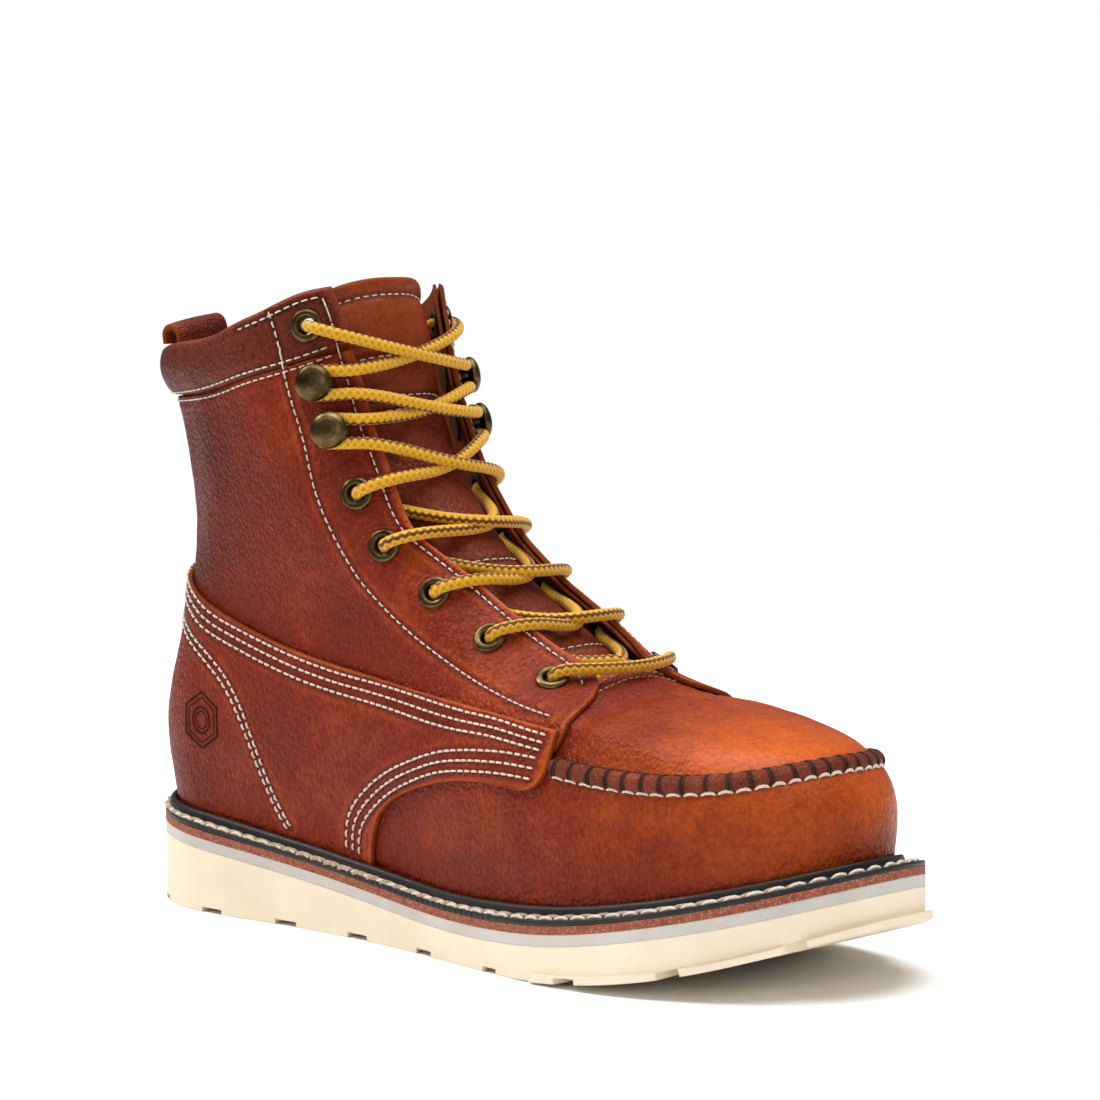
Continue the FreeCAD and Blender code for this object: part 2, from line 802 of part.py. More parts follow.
# ---- eyelets, hooks and lace ----------------------------------------------------------
def site(side, x, z):
    """Point on the upper, outward normal, direction to the throat and direction up."""
    s = side * station(x, z)
    step = 0.01
    point = upper_point(s, z)
    along = upper_point(s + side * step, z) - upper_point(s - side * step, z)
    rise = upper_point(s, z + 0.5) - upper_point(s, z - 0.5)
    normal = along.cross(rise)
    normal.normalize()
    if normal.dot(outward(point)) < 0:
        normal = normal * -1
    along.normalize()
    upward = normal.cross(along) * (1 if normal.cross(along).z > 0 else -1)
    return point, normal, along, upward


def revolved(profile, point, axis):
    """A turned solid from (radius, height) points, standing on point along axis."""
    nodes = [Vector(r, 0, h) for r, h in profile]
    face = Part.Face(Part.makePolygon(nodes + [nodes[0]]))
    solid = face.revolve(Vector(0, 0, 0), Vector(0, 0, 1), 360)
    turn = FreeCAD.Rotation(Vector(0, 0, 1), axis)
    solid.Placement = FreeCAD.Placement(point, turn)
    return solid


def eyelet(side, x, z):
    point, normal, along, upward = site(side, x, z)
    under = -(LEATHER + CLEAR + FACING) - SET_DEPTH
    top = 0.6
    profile = [(EYELET_HOLE_R, under - 0.5), (EYELET_FLANGE_R - 0.6, under - 0.5),
               (EYELET_FLANGE_R - 0.6, under), (EYELET_BARREL_R, under),
               (EYELET_BARREL_R, top), (EYELET_FLANGE_R, top),
               (EYELET_FLANGE_R - 0.2, top + 0.6),
               (EYELET_FLANGE_R - 0.9, top + EYELET_FLANGE),
               (EYELET_HOLE_R + 0.4, top + EYELET_FLANGE), (EYELET_HOLE_R, top + 0.6)]
    return revolved(profile, point, normal)


def hook(side, x, z):
    point, normal, along, upward = site(side, x, z)
    base = 0.4
    neck = base + 1.0
    rim = neck + HOOK_STANDOFF
    under = -(LEATHER + CLEAR + FACING) - SET_DEPTH
    dome = []
    for i in range(7):
        t = math.radians(15 * i)
        dome.append((HOOK_DOME_R * math.cos(t), rim + 1.0 + 2.8 * math.sin(t)))
    dome[-1] = (0.0, rim + 3.8)
    profile = [(0.0, under - 0.5), (HOOK_BASE_R - 0.6, under - 0.5), (HOOK_BASE_R - 0.6, under),
               (HOOK_NECK_R, under), (HOOK_NECK_R, base), (HOOK_BASE_R, base),
               (HOOK_BASE_R - 0.3, neck), (HOOK_NECK_R, neck), (HOOK_NECK_R, rim),
               (HOOK_DOME_R - 0.9, rim)] + dome
    return revolved(profile, point, normal)


def drill(side, x, z, radius):
    point, normal, along, upward = site(side, x, z)
    return Part.makeCylinder(radius, 14, point - normal * 8, normal)


def rounded_path(points):
    """Straight runs joined by arcs, each arc as large as its two runs allow."""
    edges = []
    start = points[0]
    for before, corner, after in zip(points, points[1:], points[2:]):
        run = min((corner - before).Length, (after - corner).Length)
        ins = (before - corner).normalize()
        out = (after - corner).normalize()
        cut = 0.45 * run
        enter = corner + ins * cut
        leave = corner + out * cut
        half = math.pi / 2 - ins.getAngle(out) / 2
        radius = cut / math.tan(half)
        bisector = (ins + out).normalize()
        centre = corner + bisector * (radius / math.cos(half))
        middle = centre - bisector * radius
        if (enter - start).Length > 1e-6:
            edges.append(Part.LineSegment(start, enter).toShape())
        edges.append(Part.Arc(enter, middle, leave).toShape())
        start = leave
        radii_seen.append(radius)
    edges.append(Part.LineSegment(start, points[-1]).toShape())
    return Part.Wire(edges)


radii_seen = []


def tube(points, radius):
    path = rounded_path(points)
    direction = points[1] - points[0]
    ring = Part.Wire([Part.makeCircle(radius, points[0], direction)])
    solid = path.makePipeShell([ring], True, False)
    expected = math.pi * radius * radius * path.Length
    if abs(solid.Volume / expected - 1) > 0.02:
        print("tube volume off:", solid.Volume, expected)
    return solid


TAIL_ROUTE = [(86.5, 197.5, 6.0), (78, 190, 5.9), (72.5, 175, 5.8), (69.5, 153, 6.2), (68.8, 124, 6.0),
              (66.5, 96, 7.2), (67.5, 72, 9.0)]
UNDER = -TONGUE_DEPTH + LACE_R + 0.9            # lace centre behind the eyestay
OVER = 3.7                                      # lace centre over an eyelet's flange
EDGE_OVER = 3.5                                 # and over the eyestay's edge
RIDGE_LOW = -TONGUE_DEPTH + LACE_R + 1.1        # lace centre on the tongue
BAR_RIDGE = 1.6                                 # bottom bar where it crosses the ridge
RIDGE_HIGH = RIDGE_LOW + 2 * LACE_R + 0.5
EDGE = Track([(z, x) for x, z in reversed(EYESTAY_EDGE)])


def edge_x(z):
    """Length x of the eyestay's front edge at height z."""
    low, high = 0.0, 1.0
    for _ in range(30):
        mid = (low + high) / 2
        if EDGE(mid)[0] < z:
            low = mid
        else:
            high = mid
    return EDGE(low)[1]


def from_ridge(x, z):
    """Distance along the slice from the front ridge to length x."""
    return sum(lengths(z)) - girth(x, z)


def lifted(h, z, lift):
    """A point above the upper's surface, h from the front ridge, negative lateral."""
    point, normal = frame_at(lambda a, b: front_point(h - 1 + 2 * a, z - 1 + 2 * b), 0.5, 0.5)
    return point + normal * lift


ROWS = EYELETS[:5] + HOOKS + EYELETS[5:]


def through(side, row, lift):
    point, normal, along, upward = site(side, *ROWS[row])
    return point + normal * lift


def run(side, row, ridge, next_lifts, first_lift):
    """Lace points from one side's row to the other side's next row, between the holes:
    over the near edge, over the tongue's ridge, then over or under the far edge."""
    (x0, z0), (x1, z1) = ROWS[row], ROWS[row + 1]
    points = []
    for share, lift in ((0.2, first_lift), (0.5, ridge)) + next_lifts:
        z = z0 + share * (z1 - z0)
        if share < 0.5:
            h = side * (from_ridge(edge_x(z), z) + 1.0)
        elif share == 0.5:
            h = 0.0
        elif share < 0.7:
            h = -side * 0.5 * from_ridge(edge_x(z), z)
        else:
            h = -side * (from_ridge(edge_x(z), z) + 1.0)
        points.append(lifted(h, z, lift))
    return points


def hook_wrap(side, row):
    """Round the neck of a hook: in below it, out above it."""
    point, normal, along, upward = site(side, *ROWS[row])
    swing = HOOK_NECK_R + LACE_R + 0.5
    lift = normal * (0.3 + 1.0 + LACE_R + 0.35)
    return [point + lift + along * 3.0 - upward * swing,
            point + lift - along * swing - upward * swing,
            point + lift - along * swing + upward * swing,
            point + lift + along * 3.0 + upward * swing]


def strand(side, over_first):
    """Half of the lace, from inside the bottom eyelet to inside the top eyelet."""
    dive = ((0.66, UNDER + 0.8), (0.8, UNDER))
    stay_out = ((0.78, EDGE_OVER),)
    points = [through(side, 0, UNDER)]
    here = side
    for row in range(7):
        ridge = RIDGE_HIGH if (here > 0) == over_first else RIDGE_LOW
        outside = row + 1 in (5, 6, 7)
        first_lift = UNDER + 0.2 if row == 0 else EDGE_OVER
        if 0 < row < 5:
            points += [through(here, row, UNDER), through(here, row, OVER)]
        route = run(here, row, ridge, stay_out if outside else dive, first_lift)
        if row == 0:
            quarter_way = 0.35 * ROWS[1][1] + 0.65 * ROWS[0][1]
            half_edge = 0.5 * from_ridge(edge_x(quarter_way), quarter_way)
            route.insert(1, lifted(here * half_edge, quarter_way, UNDER + 0.9))
        points += route
        here = -here
        if row + 1 in (5, 6):
            points += hook_wrap(here, row + 1)
    return points + [through(here, 7, OVER), through(here, 7, -2.0)]


def lace_points():
    """The whole lace: up one side's route reversed, the bottom bar, and up the other's."""
    z = ROWS[0][1]
    h = from_ridge(edge_x(z), z) + 1.0
    bar = [through(-1, 0, OVER), lifted(-h, z, EDGE_OVER), lifted(0.0, z + 1.0, BAR_RIDGE),
           lifted(h, z, EDGE_OVER), through(1, 0, OVER)]
    return list(reversed(strand(-1, True))) + bar + strand(1, True)


def tail_points(side):
    """From the top eyelet's hole back and down inside the shaft, ending in the aglet."""
    point, normal, along, upward = site(side, *EYELETS[5])
    points = [point - normal * 2.0, point + normal * UNDER]
    for x, z, depth in TAIL_ROUTE:
        here, outward_normal, along, upward = site(side, x, z)
        points.append(here - outward_normal * depth)
    last = points[-1] - points[-2]
    return points + [points[-1] + last.normalize() * AGLET_LENGTH]


def move_home(shape):
    moved = shape.copy()
    moved.translate(Vector(-OUTSOLE_LENGTH / 2, 0, 0))
    return moved


def group(solids):
    return Part.makeCompound(solids)


def under_foxing(a, b, point):
    """The upper quarter is skived a little where the lower quarter laps over it."""
    return -0.35 * (1 - blend(point.z - FOXING_TOP_Z(point.x), -5, 0))


def over_throat(a, b, point):
    """Its inner face is skived where its front corner laps over the throat of the plug."""
    return -LEATHER + 0.4 * blend(point.x, 186, 200)


def side_parts(name, side):
    under = -(LEATHER + CLEAR)
    holes = group([drill(side, x, z, EYELET_BARREL_R + 0.05) for x, z in EYELETS]
                  + [drill(side, x, z, HOOK_NECK_R + 0.05) for x, z in HOOKS])
    shaft = thick_patch(quarter(side), 36, 34, over_throat, under_foxing)
    strip = thick_patch(facing(side), 10, 36, under - FACING - 0.1, under - 0.1)
    return {
        "quarter_" + name: shaft.cut(holes),
        "lower_quarter_" + name: thick_patch(foxing(side), 38, 18, CLEAR, CLEAR + LEATHER),
        "eyestay_facing_" + name: strip.cut(holes),
        "lining_" + name: thick_patch(lining(side), 20, 24, under - LINING, under),
        "heel_counter_" + name: thick_patch(counter(side), 14, 12, -COUNTER - 0.1, -0.1),
        "eyelets_" + name: group([eyelet(side, x, z) for x, z in EYELETS]),
        "hooks_" + name: group([hook(side, x, z) for x, z in HOOKS]),
    }


def toe_parts():
    under = -(LEATHER + CLEAR)
    cap = dome_surface(Vector(238, 1, 46), 74, 72, lambda x: board_top(x) + 0.3)
    sock = dome_surface(Vector(203, 0, 48), 66, 62, lambda x: board_top(x) + 0.3)
    inner = under - CAP_STEEL - CLEAR

    def plug_under(a, b, point):
        return plug_drop(a, b, point) - LEATHER

    def seam_crown(a, b, point):
        return 0.9 + 2.0 * (1 - (2 * b - 1) ** 2)
    return {
        "vamp": thick_patch(vamp_surface(), 61, 9, -LEATHER, 0),
        "moc_plug": thick_patch(plug_surface(), 17, 17, plug_under, plug_drop),
        "moc_seam": thick_patch(seam_band(), 41, 7, CLEAR, seam_crown),
        "steel_toe_cap": thick_patch(cap, 25, 15, under - CAP_STEEL, under),
        "toe_lining": thick_patch(sock, 31, 17, inner - LINING, inner),
    }


def backstay_low(a, b, point):
    return CLEAR + (CLEAR + LEATHER) * (1 - blend(point.z, 121, 131))


def backstay_high(a, b, point):
    return backstay_low(a, b, point) + STRAP


def make_pull_loop():
    """A strap bent into an arch over the back of the collar, a little askew."""
    x, z, r = 0.2, 196.1, 3.9
    outer = Part.makeCylinder(r + STRAP / 2, LOOP_WIDTH, Vector(x, -LOOP_WIDTH / 2, z), Vector(0, 1, 0))
    inner = Part.makeCylinder(r - STRAP / 2, LOOP_WIDTH, Vector(x, -LOOP_WIDTH / 2, z), Vector(0, 1, 0))
    size = 2 * (r + STRAP / 2)
    gap = 2 * (r - STRAP / 2)
    legs = Part.makeBox(size, LOOP_WIDTH, 14, Vector(x - size / 2, -LOOP_WIDTH / 2, z - 14))
    way = Part.makeBox(gap, LOOP_WIDTH, 14, Vector(x - gap / 2, -LOOP_WIDTH / 2, z - 14))
    strap = outer.fuse(legs).cut(inner).cut(way)
    strap.rotate(Vector(x, 0, z), Vector(1, 0, 0), LOOP_TILT)
    return strap.cut(Part.makeBox(40, 60, 40, Vector(x - 20, -30, LOOP_FOOT_Z - 40)))


def back_parts():
    under = -(LEATHER + CLEAR)
    top_holes = [drill(side, *EYELETS[5], EYELET_BARREL_R + 0.05) for side in (-1, 1)]
    collar = thick_patch(collar_surface(), 45, 11, collar_inner, collar_outer)
    stay = crossing_back(8.5, RIB_TOP(0) + 1.4, 172.5)
    anchor = crossing_back(LOOP_WIDTH / 2, 178, LOOP_FOOT_Z - 1.2)
    inner = under - LINING - CLEAR
    return {
        "collar": collar.cut(group(top_holes)),
        "collar_foam": thick_patch(foam_surface(), 33, 9, -LEATHER, foam_outer),
        "backstay": thick_patch(stay, 7, 25, backstay_low, backstay_high),
        "pull_loop_anchor": thick_patch(anchor, 7, 5, inner - STRAP, inner),
        "pull_loop": make_pull_loop(),
    }


def tongue_parts():
    face = tongue_surface()
    back = -TONGUE_DEPTH - TONGUE_SKIN
    return {
        "tongue": thick_patch(face, 15, 23, back, -TONGUE_DEPTH),
        "tongue_padding": thick_patch(face, 15, 23, back - TONGUE_PAD, back - 0.02),
    }


def lace_parts():
    parts = {"lace": tube(lace_points(), LACE_R)}
    for name, side in (("lateral", -1), ("medial", 1)):
        points = tail_points(side)
        parts["lace_tail_" + name] = tube(points[:-1], LACE_R)
        start, end = points[-2], points[-1]
        parts["aglet_" + name] = Part.makeCylinder(AGLET_R, AGLET_LENGTH, start, end - start)
    return parts


def build():
    parts = {"outsole": make_outsole()}
    parts.update(make_sole_layers())
    for name, side in (("lateral", -1), ("medial", 1)):
        parts.update(side_parts(name, side))
    parts.update(toe_parts())
    parts.update(back_parts())
    parts.update(tongue_parts())
    parts.update(lace_parts())
    return parts


if __name__ == "__main__":
    os.makedirs("parts", exist_ok=True)
    for name, shape in build().items():
        state = "ok" if shape.isValid() else "INVALID"
        print(name, state, "solids", len(shape.Solids), "volume", round(shape.Volume, 1))
        move_home(shape).exportStep("parts/" + name + ".step")
    print("smallest lace radius", round(min(radii_seen), 2))
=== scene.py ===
import itertools
import json
import math

import bpy
import numpy as np
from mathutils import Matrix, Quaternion, Vector, kdtree

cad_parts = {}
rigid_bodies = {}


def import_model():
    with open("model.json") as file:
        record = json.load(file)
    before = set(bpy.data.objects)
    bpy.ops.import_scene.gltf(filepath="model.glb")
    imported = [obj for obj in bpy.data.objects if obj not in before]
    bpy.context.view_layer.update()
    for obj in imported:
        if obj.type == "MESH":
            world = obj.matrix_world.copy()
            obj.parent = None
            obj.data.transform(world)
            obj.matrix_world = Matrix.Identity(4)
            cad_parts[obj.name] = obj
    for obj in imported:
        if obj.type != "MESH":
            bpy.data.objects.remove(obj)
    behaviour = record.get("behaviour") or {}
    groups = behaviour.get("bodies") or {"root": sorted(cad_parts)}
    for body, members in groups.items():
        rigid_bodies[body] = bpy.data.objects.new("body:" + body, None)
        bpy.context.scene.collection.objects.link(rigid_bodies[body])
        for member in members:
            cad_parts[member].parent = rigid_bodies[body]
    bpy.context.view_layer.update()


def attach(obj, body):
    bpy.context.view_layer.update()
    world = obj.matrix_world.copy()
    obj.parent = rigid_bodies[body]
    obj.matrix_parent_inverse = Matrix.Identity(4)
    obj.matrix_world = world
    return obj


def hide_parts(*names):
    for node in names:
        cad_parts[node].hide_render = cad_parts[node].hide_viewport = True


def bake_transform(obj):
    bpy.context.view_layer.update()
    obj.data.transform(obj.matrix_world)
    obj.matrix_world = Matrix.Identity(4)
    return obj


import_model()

# The boot is drawn in millimetres with x = 0 at the back of the outsole, as its CAD source is,
# then brought home to the frame: metres, with the origin under mid-length.
MM = 0.001
HALF_SOLE = 155.0
SIDES = (("lateral", -1), ("medial", 1))


def home(points):
    return (np.asarray(points, float) - np.array([HALF_SOLE, 0.0, 0.0])) * MM


def place_object(name, data):
    obj = bpy.data.objects.new(name, data)
    bpy.context.scene.collection.objects.link(obj)
    return obj


def look_from(obj, place, aim, roll=0.0):
    obj.location = place
    obj.rotation_mode = "QUATERNION"
    turn = (Vector(aim) - Vector(place)).to_track_quat("-Z", "Y")
    obj.rotation_quaternion = turn @ Quaternion(Vector((0, 0, 1)), math.radians(roll))


# ---- camera ---------------------------------------------------------------------------
CAMERA_PLACE, CAMERA_AIM = (0.8606, -0.8889, 0.2331), (0.017, 0.0, 0.128)
CAMERA_LENS, CAMERA_ROLL = 124.36, -0.5


def make_camera():
    data = bpy.data.cameras.new("camera")
    data.lens, data.sensor_width = CAMERA_LENS, 36.0
    data.clip_start, data.clip_end = 0.05, 60.0
    camera = place_object("camera", data)
    look_from(camera, CAMERA_PLACE, CAMERA_AIM, CAMERA_ROLL)
    bpy.context.scene.camera = camera


make_camera()


# ---- material graphs ------------------------------------------------------------------
class Graph:
    """A procedural material, built node by node. Scales are cells per metre."""

    def __init__(self, name, **values):
        self.mat = bpy.data.materials.new(name)
        self.mat.use_nodes = True
        self.tree = self.mat.node_tree
        self.bsdf = self.tree.nodes["Principled BSDF"]
        for key, value in values.items():
            self.bsdf.inputs[key.replace("_", " ")].default_value = value
        self.place = self.add("TexCoord").outputs["Object"]

    def add(self, kind, **settings):
        node = self.tree.nodes.new("ShaderNode" + kind)
        for key, value in settings.items():
            setattr(node, key, value)
        return node

    def put(self, node, *pairs):
        """Sets or links sockets, given as (name or number, value) pairs."""
        for key, value in pairs:
            if isinstance(value, bpy.types.NodeSocket):
                self.tree.links.new(value, node.inputs[key])
            else:
                node.inputs[key].default_value = value
        return node

    def noise(self, scale, detail=3.0, roughness=0.55, distortion=0.0):
        return self.put(self.add("TexNoise"), ("Vector", self.place), ("Scale", scale),
                        ("Detail", detail), ("Roughness", roughness),
                        ("Distortion", distortion)).outputs["Fac"]

    def cells(self, scale, feature="F1", place=None):
        return self.put(self.add("TexVoronoi", feature=feature), ("Vector", place or self.place),
                        ("Scale", scale)).outputs["Distance"]

    def squeezed(self, z):
        """The object's place with its height squeezed, so that cells come out taller."""
        return self.put(self.add("Mapping"), ("Vector", self.place),
                        ("Scale", (1.0, 1.0, z))).outputs["Vector"]

    def stops(self, value, *stops):
        node = self.add("ValToRGB")
        ramp = node.color_ramp
        while len(ramp.elements) < len(stops):
            ramp.elements.new(0.5)
        for element, (at, colour) in zip(ramp.elements, stops):
            element.position = at
            element.color = (*colour, 1.0)
        return self.put(node, ("Fac", value)).outputs["Color"]

    def level(self, value, low, high, to_low=0.0, to_high=1.0):
        return self.put(self.add("MapRange"), ("Value", value), ("From Min", low),
                        ("From Max", high), ("To Min", to_low), ("To Max", to_high)).outputs["Result"]

    def maths(self, operation, a, b=0.0):
        return self.put(self.add("Math", operation=operation), (0, a), (1, b)).outputs["Value"]

    def plus(self, a, b, times=None):
        """a + b, or a + b * times."""
        return self.maths("ADD", a, b if times is None else self.maths("MULTIPLY", b, times))

    def mix(self, factor, a, b):
        a, b = [(*c, 1.0) if isinstance(c, tuple) else c for c in (a, b)]
        return self.put(self.add("Mix", data_type="RGBA"), (0, factor), (6, a), (7, b)).outputs[2]

    def bump(self, height, distance, strength=1.0, normal=None):
        node = self.put(self.add("Bump"), ("Height", height), ("Distance", distance),
                        ("Strength", strength))
        if normal is not None:
            self.put(node, ("Normal", normal))
        return node.outputs["Normal"]

    def finish(self, colour, roughness, normal=None):
        self.put(self.bsdf, ("Base Color", colour), ("Roughness", roughness))
        if normal is not None:
            self.put(self.bsdf, ("Normal", normal))
        return self.mat


def srgb(r, g, b):
    return tuple(((c / 255 + 0.055) / 1.055) ** 2.4 if c > 10 else c / 255 / 12.92
                 for c in (r, g, b))


def leather(name, dark, mid, light, grain=1.0, gloss=0.42):
    """Oiled pull-up leather: dark where its tone is low, orange and smooth where it is
    high, with a pebble grain. Its tone holds the leather's own variation and also painted
    shade and painted highlights."""
    g = Graph(name, Specular_IOR_Level=0.16)
    tone = g.add("Attribute", attribute_name="tone").outputs["Fac"]
    cloud = g.noise(45.0, 5.0, 0.6)
    fine = g.noise(420.0, 4.0, 0.6)
    pores = g.noise(1500.0, 2.0, 0.5)
    value = g.plus(tone, g.level(cloud, 0.3, 0.7, -0.035, 0.035))
    value = g.plus(value, g.level(fine, 0.3, 0.7, -0.05, 0.05))
    colour = g.stops(value, (0.0, dark), (0.46, mid), (1.0, light))
    pebble = g.cells(820.0 / grain, "SMOOTH_F1", g.squeezed(0.8))
    creases = g.level(g.cells(470.0 / grain, "DISTANCE_TO_EDGE", g.squeezed(0.75)), 0.0, 0.22)
    shade = g.put(g.add("HueSaturation"), ("Color", colour),
                  ("Value", g.level(pebble, 0.25, 0.85, 1.10, 0.74))).outputs["Color"]
    height = g.plus(g.maths("MULTIPLY", pebble, -0.7), creases, 0.3)
    height = g.plus(g.plus(height, fine, 0.7), pores, 0.12)
    height = g.maths("MULTIPLY", height, g.level(tone, 0.55, 0.78, 1.0, 0.25))
    rough = g.level(g.plus(pebble, fine), 0.6, 1.4, gloss - 0.06, gloss + 0.14)
    polish = g.maths("MULTIPLY", g.level(tone, 0.55, 0.85), 0.1)
    return g.finish(shade, g.maths("SUBTRACT", rough, polish), g.bump(height, 0.0007, 0.95))


def suede(name, dark, light):
    """A cut or flesh side: dry fibres."""
    g = Graph(name, Specular_IOR_Level=0.2)
    fibre = g.noise(900.0, 5.0, 0.75, 0.6)
    cloud = g.noise(90.0, 3.0)
    nap = g.maths("MULTIPLY", g.level(fibre, 0.25, 0.75), g.level(cloud, 0.1, 0.8))
    return g.finish(g.mix(nap, dark, light), 0.88, g.bump(fibre, 0.0005, 0.9))


def thread(name, dark, light):
    """Waxed twisted thread."""
    g = Graph(name, Specular_IOR_Level=0.3)
    ply = g.noise(1600.0, 2.0, 0.6)
    return g.finish(g.mix(g.level(ply, 0.3, 0.7), dark, light), 0.72, g.bump(ply, 0.0001, 0.7))


def rubber(name, dark, light, grain=700.0, depth=0.00012, rough=0.62):
    """Moulded or cut rubber, its sharp corners eased to the eye."""
    g = Graph(name, Specular_IOR_Level=0.35)
    cloud = g.noise(30.0, 4.0)
    fine = g.noise(grain, 4.0, 0.65)
    colour = g.mix(g.level(g.plus(cloud, fine, 0.35), 0.4, 0.95), dark, light)
    eased = g.put(g.add("Bevel", samples=6), ("Radius", 0.0009)).outputs["Normal"]
    return g.finish(colour, g.level(fine, 0.2, 0.8, rough - 0.06, rough + 0.1),
                    g.bump(fine, depth, 0.6, eased))


def speckled(name, base, chip, dark):
    """Ground cork and rubber in a binder."""
    g = Graph(name, Specular_IOR_Level=0.25)
    chips = g.cells(1100.0)
    clumps = g.noise(500.0, 3.0)
    colour = g.mix(g.level(chips, 0.12, 0.42), chip, base)
    colour = g.mix(g.level(clumps, 0.52, 0.7, 0.0, 0.6), colour, dark)
    return g.finish(colour, 0.8, g.bump(clumps, 0.00015, 0.6))


def metal(name, dark, light, rough=0.3):
    """Plated metal with rubbed highs and dull lows."""
    g = Graph(name, Metallic=1.0)
    rub = g.noise(160.0, 4.0, 0.6)
    speck = g.noise(1800.0, 3.0, 0.6)
    colour = g.mix(g.level(rub, 0.3, 0.7), dark, light)
    colour = g.mix(g.level(speck, 0.5, 0.75, 0.0, 0.35), colour, dark)
    return g.finish(colour, g.level(rub, 0.2, 0.8, rough + 0.14, rough),
                    g.bump(speck, 0.00003, 0.5))


def knit(name, dark, light, pitch=0.0011):
    """Knitted lining: small round loops in rows."""
    g = Graph(name, Specular_IOR_Level=0.2, Sheen_Weight=0.25, Sheen_Roughness=0.6)
    loops = g.cells(1.0 / pitch, "SMOOTH_F1")
    cloud = g.noise(60.0, 3.0)
    colour = g.mix(g.level(loops, 0.1, 0.7), light, dark)
    colour = g.mix(g.level(cloud, 0.3, 0.8, 0.0, 0.35), colour, dark)
    return g.finish(colour, 0.92, g.bump(loops, 0.0004, -0.8))


STRIPE_TURN = 0.2       # turns the lace's brown lines towards its outer face


def braid(name, yellow, brown, crossing, fluff):
    """A round braided lace. The strands follow the lace by its own length and turn, in its UV."""
    g = Graph(name, Specular_IOR_Level=0.3, Sheen_Weight=0.2, Sheen_Roughness=0.5)
    split = g.put(g.add("SeparateXYZ"), ("Vector", g.add("TexCoord").outputs["UV"]))
    along, turn = split.outputs["X"], g.plus(split.outputs["Y"], STRIPE_TURN)
    zig = g.maths("PINGPONG", along, 0.5)
    around = g.maths("PINGPONG", g.plus(turn, zig, 0.13), 0.25)
    colour = g.mix(g.level(around, 0.045, 0.06), brown, yellow)
    strands = [g.maths("PINGPONG", g.maths(way, along, g.maths("MULTIPLY", turn, 4.0)), 0.5)
               for way in ("ADD", "SUBTRACT")]
    weave = g.maths("MAXIMUM", *strands)
    fuzz = g.noise(2500.0, 2.0)
    colour = g.mix(g.level(weave, 0.5, 0.2, 0.0, 0.45), colour, crossing)
    colour = g.mix(g.level(fuzz, 0.55, 0.8, 0.0, 0.25), colour, fluff)
    return g.finish(colour, 0.7, g.bump(g.plus(weave, fuzz, 0.3), 0.0004, 0.8))


M = {
    "tan": leather("tan_leather", srgb(60, 14, 3), srgb(124, 35, 8), srgb(218, 100, 26)),
    "dark": leather("dark_leather", srgb(46, 15, 6), srgb(94, 30, 12), srgb(158, 68, 28), 0.9),
    "loop": leather("pull_leather", srgb(56, 16, 7), srgb(112, 38, 16), srgb(160, 74, 34), 0.6),
    "roll": leather("roll_leather", srgb(56, 20, 12), srgb(110, 45, 28), srgb(150, 70, 40), 0.6),
    "edge": suede("raw_edge", srgb(104, 42, 12), srgb(184, 92, 32)),
    "flesh": suede("flesh_side", srgb(100, 40, 16), srgb(166, 80, 34)),
    "board": suede("fibre_board", srgb(120, 96, 70), srgb(176, 148, 112)),
    "mark": suede("burnt_mark", srgb(30, 12, 8), srgb(58, 24, 14)),
    "white": thread("white_thread", srgb(196, 180, 160), srgb(240, 230, 216)),
    "tan_thread": thread("tan_thread", srgb(140, 116, 92), srgb(206, 184, 154)),
    "brown_thread": thread("brown_thread", srgb(34, 18, 14), srgb(74, 44, 34)),
    "lace": braid("lace_braid", srgb(240, 180, 14), srgb(92, 42, 14), srgb(96, 52, 14),
                  srgb(250, 214, 120)),
    "aglet": rubber("aglet_sleeve", srgb(60, 34, 10), srgb(90, 54, 18), 300.0, 0.00002, 0.2),
    "welt": rubber("black_welt", srgb(12, 11, 11), srgb(40, 36, 34), 500.0, 0.0002, 0.42),
    "cream": rubber("cream_sole", srgb(236, 220, 190), srgb(250, 238, 216), 900.0, 0.0001, 0.6),
    "pale": rubber("pale_midsole", srgb(186, 180, 172), srgb(218, 212, 204), 900.0, 0.0001, 0.6),
    "brown": speckled("brown_midsole", srgb(150, 84, 64), srgb(196, 140, 118), srgb(104, 54, 40)),
    "cork": speckled("cork_fill", srgb(150, 110, 70), srgb(186, 146, 100), srgb(96, 64, 36)),
    "brass": metal("antique_brass", srgb(48, 37, 20), srgb(124, 103, 64), 0.28),
    "steel": metal("shank_steel_plate", srgb(110, 110, 112), srgb(170, 170, 172), 0.35),
    "cap": metal("coated_cap", srgb(50, 52, 54), srgb(84, 86, 88), 0.45),
    "knit": knit("lining_knit", srgb(92, 62, 40), srgb(176, 132, 92)),
    "sock": knit("footbed_cloth", srgb(24, 22, 21), srgb(66, 60, 56), 0.0014),
}


# ---- meshes ---------------------------------------------------------------------------
def unit(v):
    return v / (np.linalg.norm(v, axis=-1)[..., None] + 1e-12)


def run_along(points):
    """The length along a line of points, from its start to each of them."""
    return np.concatenate([[0], np.cumsum(np.linalg.norm(np.diff(points, axis=0), axis=1))])


def read_line(at, run, *lines):
    """Lines of points, each read at the same lengths along the run."""
    return [np.stack([np.interp(at, run, line[:, k]) for k in range(line.shape[1])], -1)
            for line in lines]


def grid_faces(rows, columns, closed=(False, False), reverse=False):
    """Quads over points numbered row by row, closed round either way on request."""
    i, j = np.meshgrid(np.arange(rows - 1 + closed[0]), np.arange(columns - 1 + closed[1]),
                       indexing="ij")
    k, q = (i + 1) % rows, (j + 1) % columns
    corners = [i * columns + j, i * columns + q, k * columns + q, k * columns + j]
    if reverse:
        corners = [corners[0]] + corners[:0:-1]
    return np.stack(corners, -1).reshape(-1, 4)


